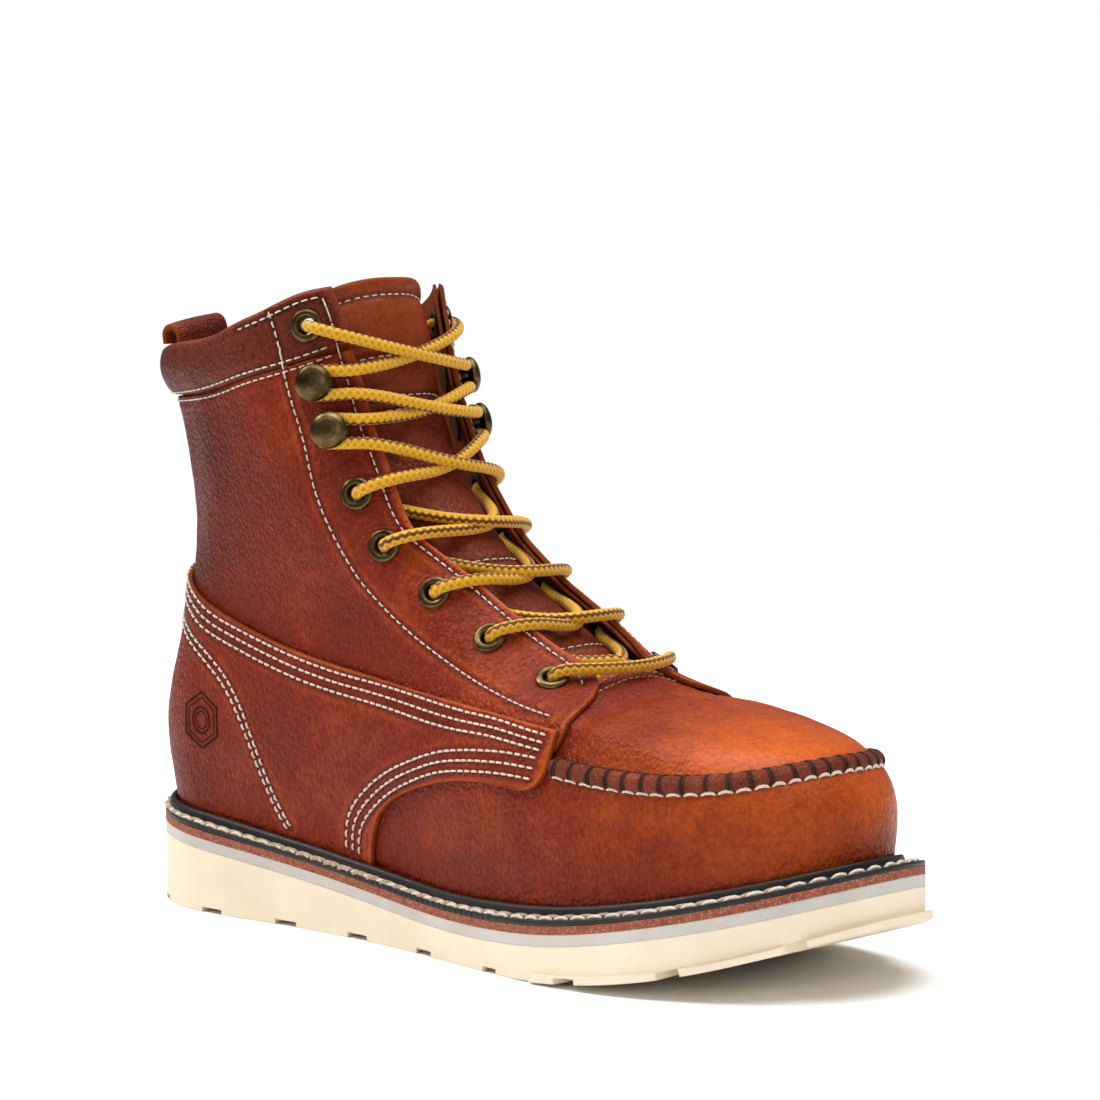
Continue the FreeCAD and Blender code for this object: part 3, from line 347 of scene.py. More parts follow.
def new_object(name, verts, faces, materials, kinds=None):
    mesh = bpy.data.meshes.new(name)
    mesh.from_pydata([tuple(v) for v in verts], [], [tuple(f) for f in faces])
    mesh.update()
    for m in materials:
        mesh.materials.append(M[m])
    if kinds is not None:
        mesh.polygons.foreach_set("material_index", np.asarray(kinds, np.int32))
    mesh.polygons.foreach_set("use_smooth", [True] * len(mesh.polygons))
    return place_object(name, mesh)


def paint_tone(obj, tone):
    """Gives each point the tone that the leather materials read."""
    paint = obj.data.attributes.new("tone", "FLOAT", "POINT")
    paint.data.foreach_set("value", np.clip(tone, 0, 1).astype(np.float32).ravel())


def stand_for(obj, slot, *nodes):
    if nodes:
        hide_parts(*nodes)


def join(objects, name, material):
    """Several meshes made into one."""
    verts, faces = [], []
    for obj in objects:
        faces += [tuple(len(verts) + v for v in face.vertices) for face in obj.data.polygons]
        verts += [tuple(v.co) for v in obj.data.vertices]
        bpy.data.meshes.remove(obj.data)
    return new_object(name, verts, faces, [material])


# ---- lace and tails -------------------------------------------------------------------
LACE_ROUTE = [
    (-63.1, 30.3, 200.1), (-60.1, 35.1, 200.7), (-48.9, 26.3, 196.7), (-45.9, 0.5, 189.2),
    (-45.3, -25.3, 185.7), (-53.5, -32.9, 185.7), (-59.5, -36.7, 185.7), (-59.0, -37.5, 177.5),
    (-53.0, -33.7, 177.5), (-43.0, -25.0, 178.6), (-36.1, 0.8, 172.6), (-40.1, 25.9, 169.6),
    (-47.7, 31.9, 170.1), (-53.9, 35.3, 170.1), (-53.2, 36.6, 162.0), (-47.0, 33.1, 162.0),
    (-36.7, 25.9, 162.2), (-29.5, 1.4, 152.4), (-30.8, -24.9, 150.7), (-39.7, -33.3, 146.3),
    (-44.1, -25.3, 144.0), (-32.5, -19.1, 139.8), (-19.7, -8.5, 136.8), (-11.3, 2.5, 135.8),
    (-19.5, 28.5, 133.6), (-28.9, 34.6, 129.7), (-31.9, 25.8, 127.4), (-15.4, 20.0, 123.0),
    (-2.6, 12.2, 120.3), (2.8, 3.5, 117.2), (2.2, -18.8, 119.5), (-9.1, -28.6, 115.9),
    (-12.5, -20.7, 111.8), (7.0, -12.8, 107.5), (18.5, -4.6, 105.7), (26.0, 4.2, 106.1),
    (25.4, 24.8, 106.4), (14.6, 34.3, 103.1), (12.0, 26.7, 98.2), (30.3, 18.7, 94.6),
    (38.7, 10.8, 93.4), (42.8, 2.9, 90.9), (44.7, -4.6, 89.8), (43.6, -11.9, 87.6),
    (38.7, -21.5, 85.2), (41.6, -25.7, 93.2), (51.5, -15.2, 93.2), (54.0, 2.1, 92.5),
    (51.6, 19.3, 93.1), (41.8, 30.2, 93.0), (38.5, 25.5, 85.5), (43.3, 16.6, 87.8),
    (44.5, 9.8, 89.9), (44.7, 2.9, 94.1), (38.9, -4.5, 93.3), (30.6, -12.0, 94.4),
    (11.9, -20.4, 97.6), (14.7, -27.2, 103.5), (25.3, -16.9, 106.5), (24.0, 4.2, 103.0),
    (18.5, 12.8, 105.7), (7.2, 20.2, 107.5), (-11.8, 25.4, 111.7), (-9.5, 33.6, 116.0),
    (2.0, 25.2, 119.5), (5.1, 3.5, 120.1), (-2.8, -5.9, 120.4), (-15.8, -15.7, 123.1),
    (-32.5, -23.9, 127.5), (-28.6, -32.3, 129.6), (-19.2, -25.0, 133.5), (-14.0, 2.5, 133.3),
    (-19.5, 12.5, 136.7), (-32.1, 21.1, 139.7), (-43.7, 26.0, 143.9), (-39.9, 34.3, 146.3),
    (-31.0, 26.8, 150.8), (-26.4, 1.4, 154.4), (-36.5, -24.7, 162.2), (-46.9, -32.8, 162.0),
    (-52.9, -36.6, 162.0), (-53.7, -35.4, 170.1), (-47.6, -31.6, 170.1), (-40.0, -25.1, 169.6),
    (-39.5, 0.8, 171.2), (-43.1, 25.6, 178.6), (-53.0, 33.7, 177.5), (-59.2, 37.2, 177.5),
    (-59.7, 36.4, 185.7), (-53.5, 32.8, 185.7), (-45.4, 25.7, 185.8), (-42.3, 0.5, 190.2),
    (-48.8, -26.2, 196.7), (-60.0, -35.5, 200.7), (-63.1, -30.8, 200.1)]
TAIL_ROUTES = {
    "lateral": [(-63.1, -30.8, 200.1), (-65.2, -27.6, 199.7), (-70.8, -30.7, 197.1),
                (-78.0, -33.2, 189.9), (-82.3, -33.6, 175.2), (-84.9, -31.6, 153.5),
                (-85.8, -28.6, 124.7), (-88.3, -25.1, 95.9), (-87.3, -25.4, 71.6)],
    "medial": [(-63.1, 30.3, 200.1), (-65.0, 27.1, 199.7), (-70.7, 30.1, 197.1),
               (-77.9, 32.5, 189.9), (-82.4, 32.9, 175.2), (-85.0, 30.9, 153.5),
               (-85.9, 27.9, 124.7), (-88.4, 24.2, 96.1), (-87.7, 23.5, 71.9)],
}
AGLET_ENDS = {"lateral": (-86.4, -25.6, 51.6), "medial": (-87.0, 23.0, 51.9)}
LACE_R = 2.0             # the braid is fuller than the plain tube it stands for
TAIL_R, AGLET_R = 1.6, 1.7
BRAID_PITCH, BRAID_RELIEF = 2.4, 0.05
LACE_STEP, TAIL_STEP = 0.7, 0.9


def route(name, points):
    """A NURBS line through the cord's control points, given in the frame's millimetres."""
    data = bpy.data.curves.new(name, "CURVE")
    data.dimensions = "3D"
    data.resolution_u = 10
    spline = data.splines.new("NURBS")
    spline.points.add(len(points) - 1)
    for point, place in zip(spline.points, points):
        point.co = (*(c * MM for c in place), 1.0)
    spline.order_u = 3
    spline.use_endpoint_u = True
    return place_object(name, data)


def line_points(curve):
    """The points of a curve's own line, in metres. The curve goes."""
    bpy.context.view_layer.update()
    graph = bpy.context.evaluated_depsgraph_get()
    mesh = bpy.data.meshes.new_from_object(curve.evaluated_get(graph))
    points = np.array([v.co for v in mesh.vertices], float)
    bpy.data.meshes.remove(mesh)
    bpy.data.objects.remove(curve)
    return points


def respaced(points, step):
    run = run_along(points)
    count = max(int(round(run[-1] / step)), 2)
    return read_line(np.linspace(0, run[-1], count + 1), run, points)[0]


def carried(points):
    """Two side directions at each point that turn as little as they can along the line."""
    tangent = unit(np.gradient(points, axis=0))
    side = np.cross(tangent[0], (0.3, 0.2, 1.0))
    sides = []
    for t in tangent:
        side = unit(side - t * side.dot(t))
        sides.append(side)
    return np.array(sides), np.cross(tangent, sides)


def hose(name, points, radius, material, around=12, wobble=0.0, ends=None):
    """A round tube along points, its UV counting the length in pitches and the turn in ones."""
    one, two = carried(points)
    run = run_along(points) / (BRAID_PITCH * MM)
    n = len(points)
    angle = np.arange(around) * 2 * np.pi / around
    radii = radius * (ends(run_along(points)) if ends else np.ones(n))
    ring = np.cos(angle)[:, None] * one[:, None] + np.sin(angle)[:, None] * two[:, None]
    relief = 1 + wobble * np.cos(2 * np.pi * run[:, None] + 4 * angle)
    tube = points[:, None] + ring * (radii[:, None] * relief)[..., None]
    verts = np.concatenate([tube.reshape(-1, 3), points[:1], points[-1:]])
    faces = grid_faces(n, around, (False, True)).tolist()
    i, j = np.divmod(np.arange(len(faces)), around)
    low, high = j / around, (j + 1) / around
    uvs = np.stack([run[i], low, run[i], high, run[i + 1], high, run[i + 1], low], 1).ravel()
    for j in range(around):
        k = (j + 1) % around
        faces.append((n * around, k, j))
        faces.append((n * around + 1, (n - 1) * around + j, (n - 1) * around + k))
    uvs = np.concatenate([uvs, np.tile([0.0, 0.0] * 3 + [run[-1], 0.0] * 3, around)])
    obj = new_object(name, verts, faces, [material])
    obj.data.uv_layers.new(name="UVMap").data.foreach_set("uv", uvs.astype(np.float32))
    return obj


def aglet_end(run):
    """How an aglet's radius draws in at both of its ends."""
    near = np.clip(np.minimum(run, run[-1] - run) / (0.8 * MM), 0, 1)
    return 0.72 + 0.28 * np.sqrt(1 - (1 - near) ** 2)


def make_lace():
    points = respaced(line_points(route("lace_line", LACE_ROUTE)), LACE_STEP * MM)
    lace = hose("braided_lace", points, LACE_R * MM, "lace", wobble=BRAID_RELIEF)
    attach(lace, "boot")
    stand_for(lace, "lace_braid", "lace")
    for side, places in TAIL_ROUTES.items():
        line = line_points(route("tail_line_" + side, places))
        tail = hose("lace_end_" + side, respaced(line, TAIL_STEP * MM), TAIL_R * MM, "lace",
                    wobble=BRAID_RELIEF)
        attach(tail, "boot")
        stand_for(tail, "lace_braid", "lace_tail_" + side)
        start, end = np.array(places[-1]) * MM, np.array(AGLET_ENDS[side]) * MM
        span = start + (end - start) * np.linspace(-0.02, 1.0, 30)[:, None]
        aglet = hose("aglet_sleeve_" + side, span, AGLET_R * MM, "aglet", 20, ends=aglet_end)
        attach(aglet, "boot")
        stand_for(aglet, "aglet_plastic", "aglet_" + side)


make_lace()


# ---- the shape of the foot ------------------------------------------------------------
class Spline:
    """Natural cubic spline through (x, y) knots, straight outside them."""

    def __init__(self, xs, ys):
        self.x, self.y = np.array(xs, float), np.array(ys, float)
        h = self.h = np.diff(self.x)
        slope = np.diff(self.y) / h
        n = len(self.x)
        a = np.eye(n)
        r = np.zeros(n)
        for i in range(1, n - 1):
            a[i, i - 1:i + 2] = h[i - 1], 2 * (h[i - 1] + h[i]), h[i]
            r[i] = 6 * (slope[i] - slope[i - 1])
        self.m = np.linalg.solve(a, r)
        self.start = slope[0] - h[0] * self.m[1] / 6
        self.end = slope[-1] + h[-1] * self.m[-2] / 6

    def __call__(self, v):
        v = np.asarray(v, float)
        i = np.clip(np.searchsorted(self.x, v) - 1, 0, len(self.h) - 1)
        h = self.h[i]
        a = (self.x[i + 1] - v) / h
        b = 1 - a
        bend = (a ** 3 - a) * self.m[i] + (b ** 3 - b) * self.m[i + 1]
        mid = a * self.y[i] + b * self.y[i + 1] + bend * h * h / 6
        low = self.y[0] + self.start * (v - self.x[0])
        high = self.y[-1] + self.end * (v - self.x[-1])
        return np.where(v < self.x[0], low, np.where(v > self.x[-1], high, mid))


class Track:
    """A smooth path through (p, q) points, run from 0 to 1 by its own length."""

    def __init__(self, points):
        points = np.array(points, float)
        run = run_along(points)
        self.p = Spline(run / run[-1], points[:, 0])
        self.q = Spline(run / run[-1], points[:, 1])

    def __call__(self, t):
        return np.stack([self.p(t), self.q(t)], -1)


def blend(v, low, high):
    """0 up to low, 1 from high on, and a smooth step between them."""
    t = np.clip((np.asarray(v, float) - low) / (high - low), 0.0, 1.0)
    return t * t * (3 - 2 * t)


HEIGHTS = [20, 45, 65, 80, 92, 108, 130, 160, 190, 225]
STATIONS = [30, 70, 110, 150, 190, 225, 262]
HALF_WIDTHS = [         # a row for each height, a column for each station
    [29.5, 30.5, 31.0, 36.5, 43.5, 46.0, 45.0],
    [31.5, 32.5, 33.0, 38.5, 46.0, 48.0, 46.0],
    [32.5, 33.5, 33.5, 37.5, 43.5, 45.0, 42.5],
    [31.5, 33.0, 32.5, 35.0, 38.5, 39.5, 36.0],
    [30.5, 32.0, 32.0, 33.0, 34.5, 34.0, 31.0],
    [30.5, 32.5, 32.3, 31.5, 31.5, 31.0, 29.0],
    [30.0, 35.0, 35.0, 32.0, 31.0, 31.0, 31.0],
    [31.0, 38.0, 38.0, 36.0, 35.0, 35.0, 35.0],
    [33.0, 39.5, 40.5, 39.0, 38.0, 38.0, 38.0],
    [34.5, 40.5, 41.5, 40.0, 39.0, 39.0, 39.0],
]
BACK_X = Spline([32, 45, 60, 80, 100, 125, 150, 175, 188, 202, 225],
                [7.5, 4.5, 3.0, 5.5, 10, 13, 10.5, 4.0, -0.3, -1.0, -1.2])
FRONT_X = Spline([20, 40, 50, 58, 64, 69, 73, 77, 81, 86, 93, 104, 118, 132, 150, 175, 200, 225],
                 [295, 297.5, 298, 296.5, 293, 288, 281.5, 267, 244, 221, 205, 188, 166, 150,
                  134, 120, 112, 107])
BACK_R = Spline([38, 60, 100, 140, 180, 225], [31, 32, 33, 38, 42, 44])
FRONT_R = Spline([20, 45, 70, 80, 90, 105, 130, 160, 190, 225],
                 [42, 42, 38, 40, 44, 48, 52, 52, 50, 50])
CENTRE_Y = Spline([0, 45, 90, 130, 170, 205, 235, 262, 287, 305],
                  [0, -0.5, -1.5, -2, -2.2, -1, 0.5, 2.2, 4, 6])
WIDTH_ROWS = [Spline(STATIONS, row) for row in HALF_WIDTHS]
HEIGHT_WEIGHTS = [Spline(HEIGHTS, row) for row in np.eye(len(HEIGHTS))]


def full_half_width(x, z):
    x = np.clip(x, STATIONS[0], STATIONS[-1])
    z = np.clip(z, HEIGHTS[0], HEIGHTS[-1])
    return sum(w(z) * row(x) for w, row in zip(HEIGHT_WEIGHTS, WIDTH_ROWS))


def centre_y(x, z):
    k = blend(z, 60, 110)
    return CENTRE_Y(x) * (1 - 0.6 * k) + 5 * k * np.exp(-((x - 180) / 55) ** 2)


def ends(z):
    """Back, front and the lengths of the two rounded ends of the plan at that height."""
    back, front, rb, rf = BACK_X(z), FRONT_X(z), BACK_R(z), FRONT_R(z)
    k = np.minimum((front - back) / (rb + rf), 1.0)
    return back, front, rb * k, rf * k


def upper_point(s, z):
    """The upper's surface. s is 0 at the back, 1 to 2 along a side and 3 at the front, and
    its sign says which side."""
    s, z = np.broadcast_arrays(np.asarray(s, float), np.asarray(z, float))
    u = np.minimum(np.abs(s), 3.0)
    back, front, rb, rf = ends(z)
    t1 = u * np.pi / 2
    t3 = (3 - u) * np.pi / 2
    x = np.where(u <= 1, back + rb * (1 - np.cos(t1)),
                 np.where(u <= 2, back + rb + (u - 1) * (front - rf - back - rb),
                          front - rf * (1 - np.cos(t3))))
    e = np.where(u <= 1, np.sin(t1), np.where(u <= 2, 1.0, np.sin(t3)))
    side = np.where(s < 0, -1.0, 1.0)
    return np.stack([x, centre_y(x, z) + side * full_half_width(x, z) * e, z], -1)


def lengths(z):
    """How long the back end, the side and the front end of the plan are."""
    back, front, rb, rf = ends(z)

    def arc(a, b):
        return np.pi / 4 * (3 * (a + b) - np.sqrt((3 * a + b) * (a + 3 * b)))
    return (arc(rb, full_half_width(back + rb, z)), front - rf - back - rb,
            arc(rf, full_half_width(front - rf, z)))


def station(x, z):
    """upper_point's s for an x."""
    back, front, rb, rf = ends(z)
    low = np.arccos(np.clip(1 - (x - back) / rb, -1, 1)) * 2 / np.pi
    high = 3 - np.arccos(np.clip(1 - (front - x) / rf, -1, 1)) * 2 / np.pi
    mid = 1 + (x - back - rb) / (front - rf - back - rb)
    return np.where(x <= back + rb, low, np.where(x <= front - rf, mid, high))


def girth(x, z):
    """The length round the plan from the back to an x."""
    lb, ls, lf = lengths(z)
    u = station(x, z)
    return np.where(u <= 1, u * lb, np.where(u <= 2, lb + (u - 1) * ls, lb + ls + (u - 2) * lf))


def around(side, g, z):
    """The upper's surface at a girth."""
    lb, ls, lf = lengths(z)
    s = np.where(g < lb, g / lb, np.where(g < lb + ls, 1 + (g - lb) / ls,
                                          np.minimum(2 + (g - lb - ls) / lf, 3.0)))
    return upper_point(np.where(np.asarray(side) < 0, -1.0, 1.0) * np.maximum(s, 1e-6), z)


def front_point(h, z):
    """The upper's surface at a girth from the front's middle."""
    return around(h, sum(lengths(z)) - np.abs(h), z)


def inside(x, y, z):
    back, front, rb, rf = ends(z)
    e = np.where(x < back + rb, np.sqrt(np.clip(1 - ((back + rb - x) / rb) ** 2, 0, 1)),
                 np.where(x > front - rf, np.sqrt(np.clip(1 - ((x - front + rf) / rf) ** 2, 0, 1)),
                          1.0))
    within = (x > back) & (x < front)
    return within & (np.abs(y - centre_y(x, z)) < full_half_width(x, z) * e)


def outward(point):
    """A rough direction out of the foot."""
    x, z = point[..., 0], point[..., 2]
    back, front, rb, rf = ends(z)
    mid = np.minimum(np.maximum(x, back + 20), np.maximum(front - 30, back + 21))
    return point - np.stack([mid, centre_y(mid, z), z - 8], -1)


def normals_of(f, a, b, step=0.003):
    """Points and outward unit normals of the surface f(a, b)."""
    point = f(a, b)
    da = f(np.minimum(a + step, 1), b) - f(np.maximum(a - step, 0), b)
    db = f(a, np.minimum(b + step, 1)) - f(a, np.maximum(b - step, 0))
    normal = unit(np.cross(da, db))
    flip = np.sum(normal * outward(point), -1) < 0
    return point, np.where(flip[..., None], -normal, normal)


def settled(guess, like, step, turns=14):
    """A height z that depends on itself, found by stepping half the way again and again."""
    z = np.full(np.shape(like), guess)
    for _ in range(turns):
        z = 0.5 * z + 0.5 * step(z)
    return z


# ---- lines on the upper, as (x, z) ----------------------------------------------------
RIB_TOP = Spline([0, 30, 62, 95, 128, 160, 192, 219, 251, 277, 293, 308],
                 [37, 34.5, 31.5, 28, 24.5, 21.8, 21.8, 23.5, 28.3, 33.8, 38, 42.5])
SEAM_Z = Spline([190, 213, 235, 254, 270, 282, 290], [69, 66.5, 64.5, 64, 64.8, 66.5, 68.5])
FOXING_TOP_Z = Spline([3, 20, 42, 76, 111, 152, 188, 214],
                      [121, 114, 105, 94.5, 88, 82.5, 79, 76.5])
SHAFT_LOW_Z = Spline([6, 30, 60, 111, 152, 188, 214], [112, 101, 91, 80, 74.5, 71.5, 70.8])
COLLAR_SEAM_Z = Spline([-2, 30, 49, 70, 87, 96, 104], [174, 175.5, 177.6, 182.5, 186.8, 190, 194])
COLLAR_TOP_Z = Spline([-2, 12, 30, 53, 66, 80, 91, 98],
                      [190.5, 192.3, 194.3, 197.3, 201.5, 206.5, 211.5, 213.4])
VAMP_LAP = Spline([112, 122, 134, 148, 166, 186, 203, 215],
                  [31, 41, 50, 56, 60.5, 63.5, 64.8, 65.8])
EYESTAY_EDGE = [(98.2, 213.4), (102.2, 203), (104.9, 193.6), (108.8, 181.8), (113.1, 169),
                (118.5, 157.7), (123.5, 148), (132.1, 134.6), (141.4, 127.1), (151, 120.6),
                (170.7, 108.6), (193.2, 96.7), (204, 91), (212, 85.5), (215.5, 79), (214.5, 72)]
FACING_LINE = [(80, 206), (85, 192), (89.1, 176.6), (93.4, 165.4), (98.9, 148.1),
               (108.2, 129.6), (116, 118.4), (131.1, 105.4), (150, 95.5), (173.6, 87.3),
               (189, 83.6)]
FACING_STITCH_END = [(199, 81.8), (208, 80.6)]
ARCH = [(125, 21.5), (125.2, 28), (127.2, 36), (132, 43), (141, 48.8), (154, 53.5),
        (170, 57.2), (186, 58.6), (200, 58.0), (209, 59), (213.2, 63.5), (214, 69)]
ARCH_STITCH = [(112.8, 28.9), (113.7, 36.8), (121.4, 47.0), (133.2, 54.8), (149.3, 61.4),
               (163.5, 65.4), (180.4, 67.5), (197.4, 68.2), (209.5, 67.8)]
TRIPLE_STITCH = [(10, 119.0), (20, 113.6), (31.5, 108.8), (42.7, 102.8), (57.5, 97.7),
                 (76.4, 92.6), (94.2, 88.6), (110.9, 85.8), (127.9, 83.8), (152.2, 80.6),
                 (172.6, 78.3), (187.9, 77.2), (202.2, 75.5), (211.0, 74.6)]
COUNTER_STITCH = [(11, 104.0), (25.0, 97.6), (42.0, 88.1), (52.4, 81.1), (60.5, 72.6),
                  (66.3, 63.6), (72.6, 51.2), (79.6, 39.6), (84.8, 32.8)]
EYELETS = [(195.5, 90.1), (168.6, 101.2), (144.6, 114.3), (124.9, 128.8), (113.6, 145.4),
           (93.0, 200.3)]
HOOKS = [(103.5, 165.5), (97.5, 181.2)]

LEATHER, CLEAR, FACING, LINING = 1.8, 0.25, 1.2, 1.0
UNDER = -(LEATHER + CLEAR)          # the back of the quarters, measured from the upper's surface
ON_TOP = CLEAR + LEATHER            # the face of a piece that laps over them
RIB_HEIGHT, WELT = 3.5, 1.8
COLLAR_PUFF, STRAP = 3.0, 2.0
HEEL_GAP = 0.2


def welt_top(x):
    return RIB_TOP(x) - RIB_HEIGHT


def board_top(x):
    return welt_top(x) + 2.5


def wall_bottom(x):
    return welt_top(x) + 0.2


def unrolled(points):
    """(x, z) points as (girth, z)."""
    p = np.array(points, float)
    return np.stack([girth(p[:, 0], p[:, 1]), p[:, 1]], 1)


def coons(bottom, top, left, right):
    """A smooth patch between four lines that meet at its corners."""
    c00, c10, c01, c11 = bottom(0.0), bottom(1.0), top(0.0), top(1.0)

    def at(a, b):
        a1, b1 = a[..., None], b[..., None]
        value = (1 - b1) * bottom(a) + b1 * top(a) + (1 - a1) * left(b) + a1 * right(b)
        return value - ((1 - a1) * (1 - b1) * c00 + a1 * (1 - b1) * c10
                        + (1 - a1) * b1 * c01 + a1 * b1 * c11)
    return at


def side_panel(side, bottom, top, left, right):
    """A patch of the upper's side between four lines."""
    at = coons(*[Track(unrolled(line)) for line in (bottom, top, left, right)])

    def f(a, b):
        g = at(np.asarray(a, float), np.asarray(b, float))
        return around(side, HEEL_GAP + np.maximum(g[..., 0], 0.0), g[..., 1])
    return f


def line_of(height, x0, x1, count=9):
    xs = np.linspace(x0, x1, count)
    return list(zip(xs, height(xs)))


def back_at(z):
    return float(BACK_X(z)), float(z)


def back_line(z0, z1, count=7):
    return [back_at(z) for z in np.linspace(float(z0), float(z1), count)]


# ---- soft unevenness ------------------------------------------------------------------
lattice = np.random.RandomState(7)
TURN = lattice.permutation(256)
SLOPE = lattice.normal(size=(256, 3))
SLOPE /= np.linalg.norm(SLOPE, axis=1)[:, None]


def unevenness(points, size, shift=0.0):
    """Gradient noise from about -0.8 to 0.8 over cells of that size."""
    p = np.asarray(points, float) / size + shift
    cell = np.floor(p).astype(int)
    f = p - cell
    ease = f * f * f * (f * (f * 6 - 15) + 10)
    total = 0.0
    for corner in itertools.product((0, 1), repeat=3):
        x, y, z = np.moveaxis(cell + corner, -1, 0)
        slope = SLOPE[TURN[(TURN[(TURN[x % 256] + y) % 256] + z) % 256]]
        weight = np.prod(np.where(corner, ease, 1 - ease), -1)
        total = total + np.sum(slope * (f - corner), -1) * weight
    return total * 1.6


def settle(p):
    """How the whole upper is a little uneven, so that layers and stitches stay together."""
    return 0.34 * unevenness(p, 21.0) + 0.14 * unevenness(p, 8.0, 3.3)


# ---- rows of stitches -----------------------------------------------------------------
class Row:
    """A line of stitches: its points and normals on the upper's surface."""

    def __init__(self, points, normals, lift=0.0):
        self.run, self.points, self.normals, self.lift = run_along(points), points, normals, lift

    def at(self, s):
        p, n = read_line(s, self.run, self.points, self.normals)
        return p, unit(n)


def row_over(f, a, b, lift=0.0, depth=None):
    """A row over the surface f. depth says how far off it the row lies."""
    a, b = np.broadcast_arrays(a, b)
    point, normal = normals_of(f, a, b)
    if depth:
        point = point + normal * depth(a, b, point)[:, None]
    return Row(point, normal, lift)


ROW_POINTS = 240


def on_side(side, line, shift=0.0, lift=0.0, trim=(0.0, 1.0), relief=settle):
    """A row over one side of the upper. shift moves it to the left of its own direction."""
    flat = Track(unrolled(line))(np.linspace(*trim, ROW_POINTS))
    heading = unit(np.gradient(flat, axis=0))
    flat = flat + np.stack([-heading[:, 1], heading[:, 0]], 1) * shift

    def f(a, b):
        return around(side, flat[:, 0] - 0.5 + a, flat[:, 1] - 0.5 + b)
    half = np.full(ROW_POINTS, 0.5)
    point, normal = normals_of(f, half, half, 0.4)
    return Row(point + normal * relief(point)[:, None], normal, lift)


# A stitch runs from -1 to 1, swells in its middle and dives at both ends.
STITCH_T = np.array([-1, -0.78, -0.3, 0.3, 0.78, 1.0])
STITCH_SWELL = np.array([0.45, 0.92, 1.0, 1.0, 0.92, 0.45])
STITCH_HEIGHT = np.array([-1.0, 0.1, 0.62, 0.62, 0.1, -1.0])
STITCH_SIDES = 6
STITCH_JITTER = 0.06


def stitches(name, rows, material, pitch=3.3, radius=0.41, fill=0.76, slant=0.0, bow=0.0,
             sink=0.3, body="boot"):
    """Every stitch of some rows, as one object."""
    draw = np.random.RandomState(len(name) * 31 + len(rows))
    angle = np.arange(STITCH_SIDES) * 2 * np.pi / STITCH_SIDES
    rings = len(STITCH_T)
    size = rings * STITCH_SIDES
    shell = grid_faces(rings, STITCH_SIDES, (False, True)).tolist()
    shell += [list(range(STITCH_SIDES))[::-1], list(range(size - STITCH_SIDES, size))]
    lift = np.where(STITCH_HEIGHT < 0, -sink, STITCH_HEIGHT * radius)
    drift = slant * STITCH_T + bow * (1 - STITCH_T ** 2)
    verts = []
    for row in rows:
        total = row.run[-1]
        n = max(int(total / pitch), 1)
        centre = (np.arange(n) + 0.5) * total / n
        centre = centre + draw.uniform(-STITCH_JITTER, STITCH_JITTER, n) * pitch
        half = 0.5 * pitch * fill * (1 + draw.uniform(-STITCH_JITTER, STITCH_JITTER, n))
        s = centre[:, None] + half[:, None] * STITCH_T
        point, normal = row.at(s)
        side = np.cross(normal, unit(row.at(s + 0.05)[0] - row.at(s - 0.05)[0]))
        core = point + side * drift[:, None] + normal * (row.lift + lift)[:, None]
        ring = (np.cos(angle)[:, None] * normal[:, :, None]
                + np.sin(angle)[:, None] * side[:, :, None])
        verts.append((core[:, :, None] + ring * (radius * STITCH_SWELL)[:, None, None]).reshape(-1, 3))
    verts = np.concatenate(verts)
    faces = [[base + v for v in face] for base in range(0, len(verts), size) for face in shell]
    obj = new_object(name, home(verts), faces, [material])
    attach(obj, body)


# ---- leather layers -------------------------------------------------------------------
def spaced(count, length, edge):
    """Steps from 0 to 1, close together over the rounded borders."""
    near = np.array([0, 0.08, 0.25, 0.5, 0.75, 1.0]) * edge / length
    return np.concatenate([near[:-1], np.linspace(near[-1], 1 - near[-1], count), 1 - near[::-1][1:]])


HOLE_R, HOLE_REACH = 3.9, 9.0


def punched(points, holes):
    """Which points lie in an eyelet's hole."""
    hit = np.zeros(points.shape[:-1], bool)
    for centre, axis in holes:
        d = points - centre
        along = d @ axis
        across = np.linalg.norm(d - along[..., None] * axis, axis=-1)
        hit |= (across < HOLE_R) & (np.abs(along) < HOLE_REACH)
    return hit


def near_rows(points, rows):
    """Distance from each point to the nearest stitch row."""
    if not rows:
        return np.full(points.shape[:-1], 99.0)
    every = np.concatenate([row.points for row in rows])
    tree = kdtree.KDTree(len(every))
    for i, p in enumerate(every):
        tree.insert(p, i)
    tree.balance()
    return np.array([tree.find(p)[2] for p in points.reshape(-1, 3)]).reshape(points.shape[:-1])


def bell(distance, width):
    return np.exp(-(distance / width) ** 2)


def rim_faces(n, m, flip):
    """Quads that close the rim between n rows of m points and as many behind them."""
    index = np.arange(n * m).reshape(n, m)
    rim = np.concatenate([index[0], index[1:, -1], index[-1, -2::-1], index[-2:0:-1, 0]])
    after = np.roll(rim, -1)
    strip = np.stack([rim, after, after + n * m, rim + n * m], 1)
    return strip[:, ::-1] if flip else strip


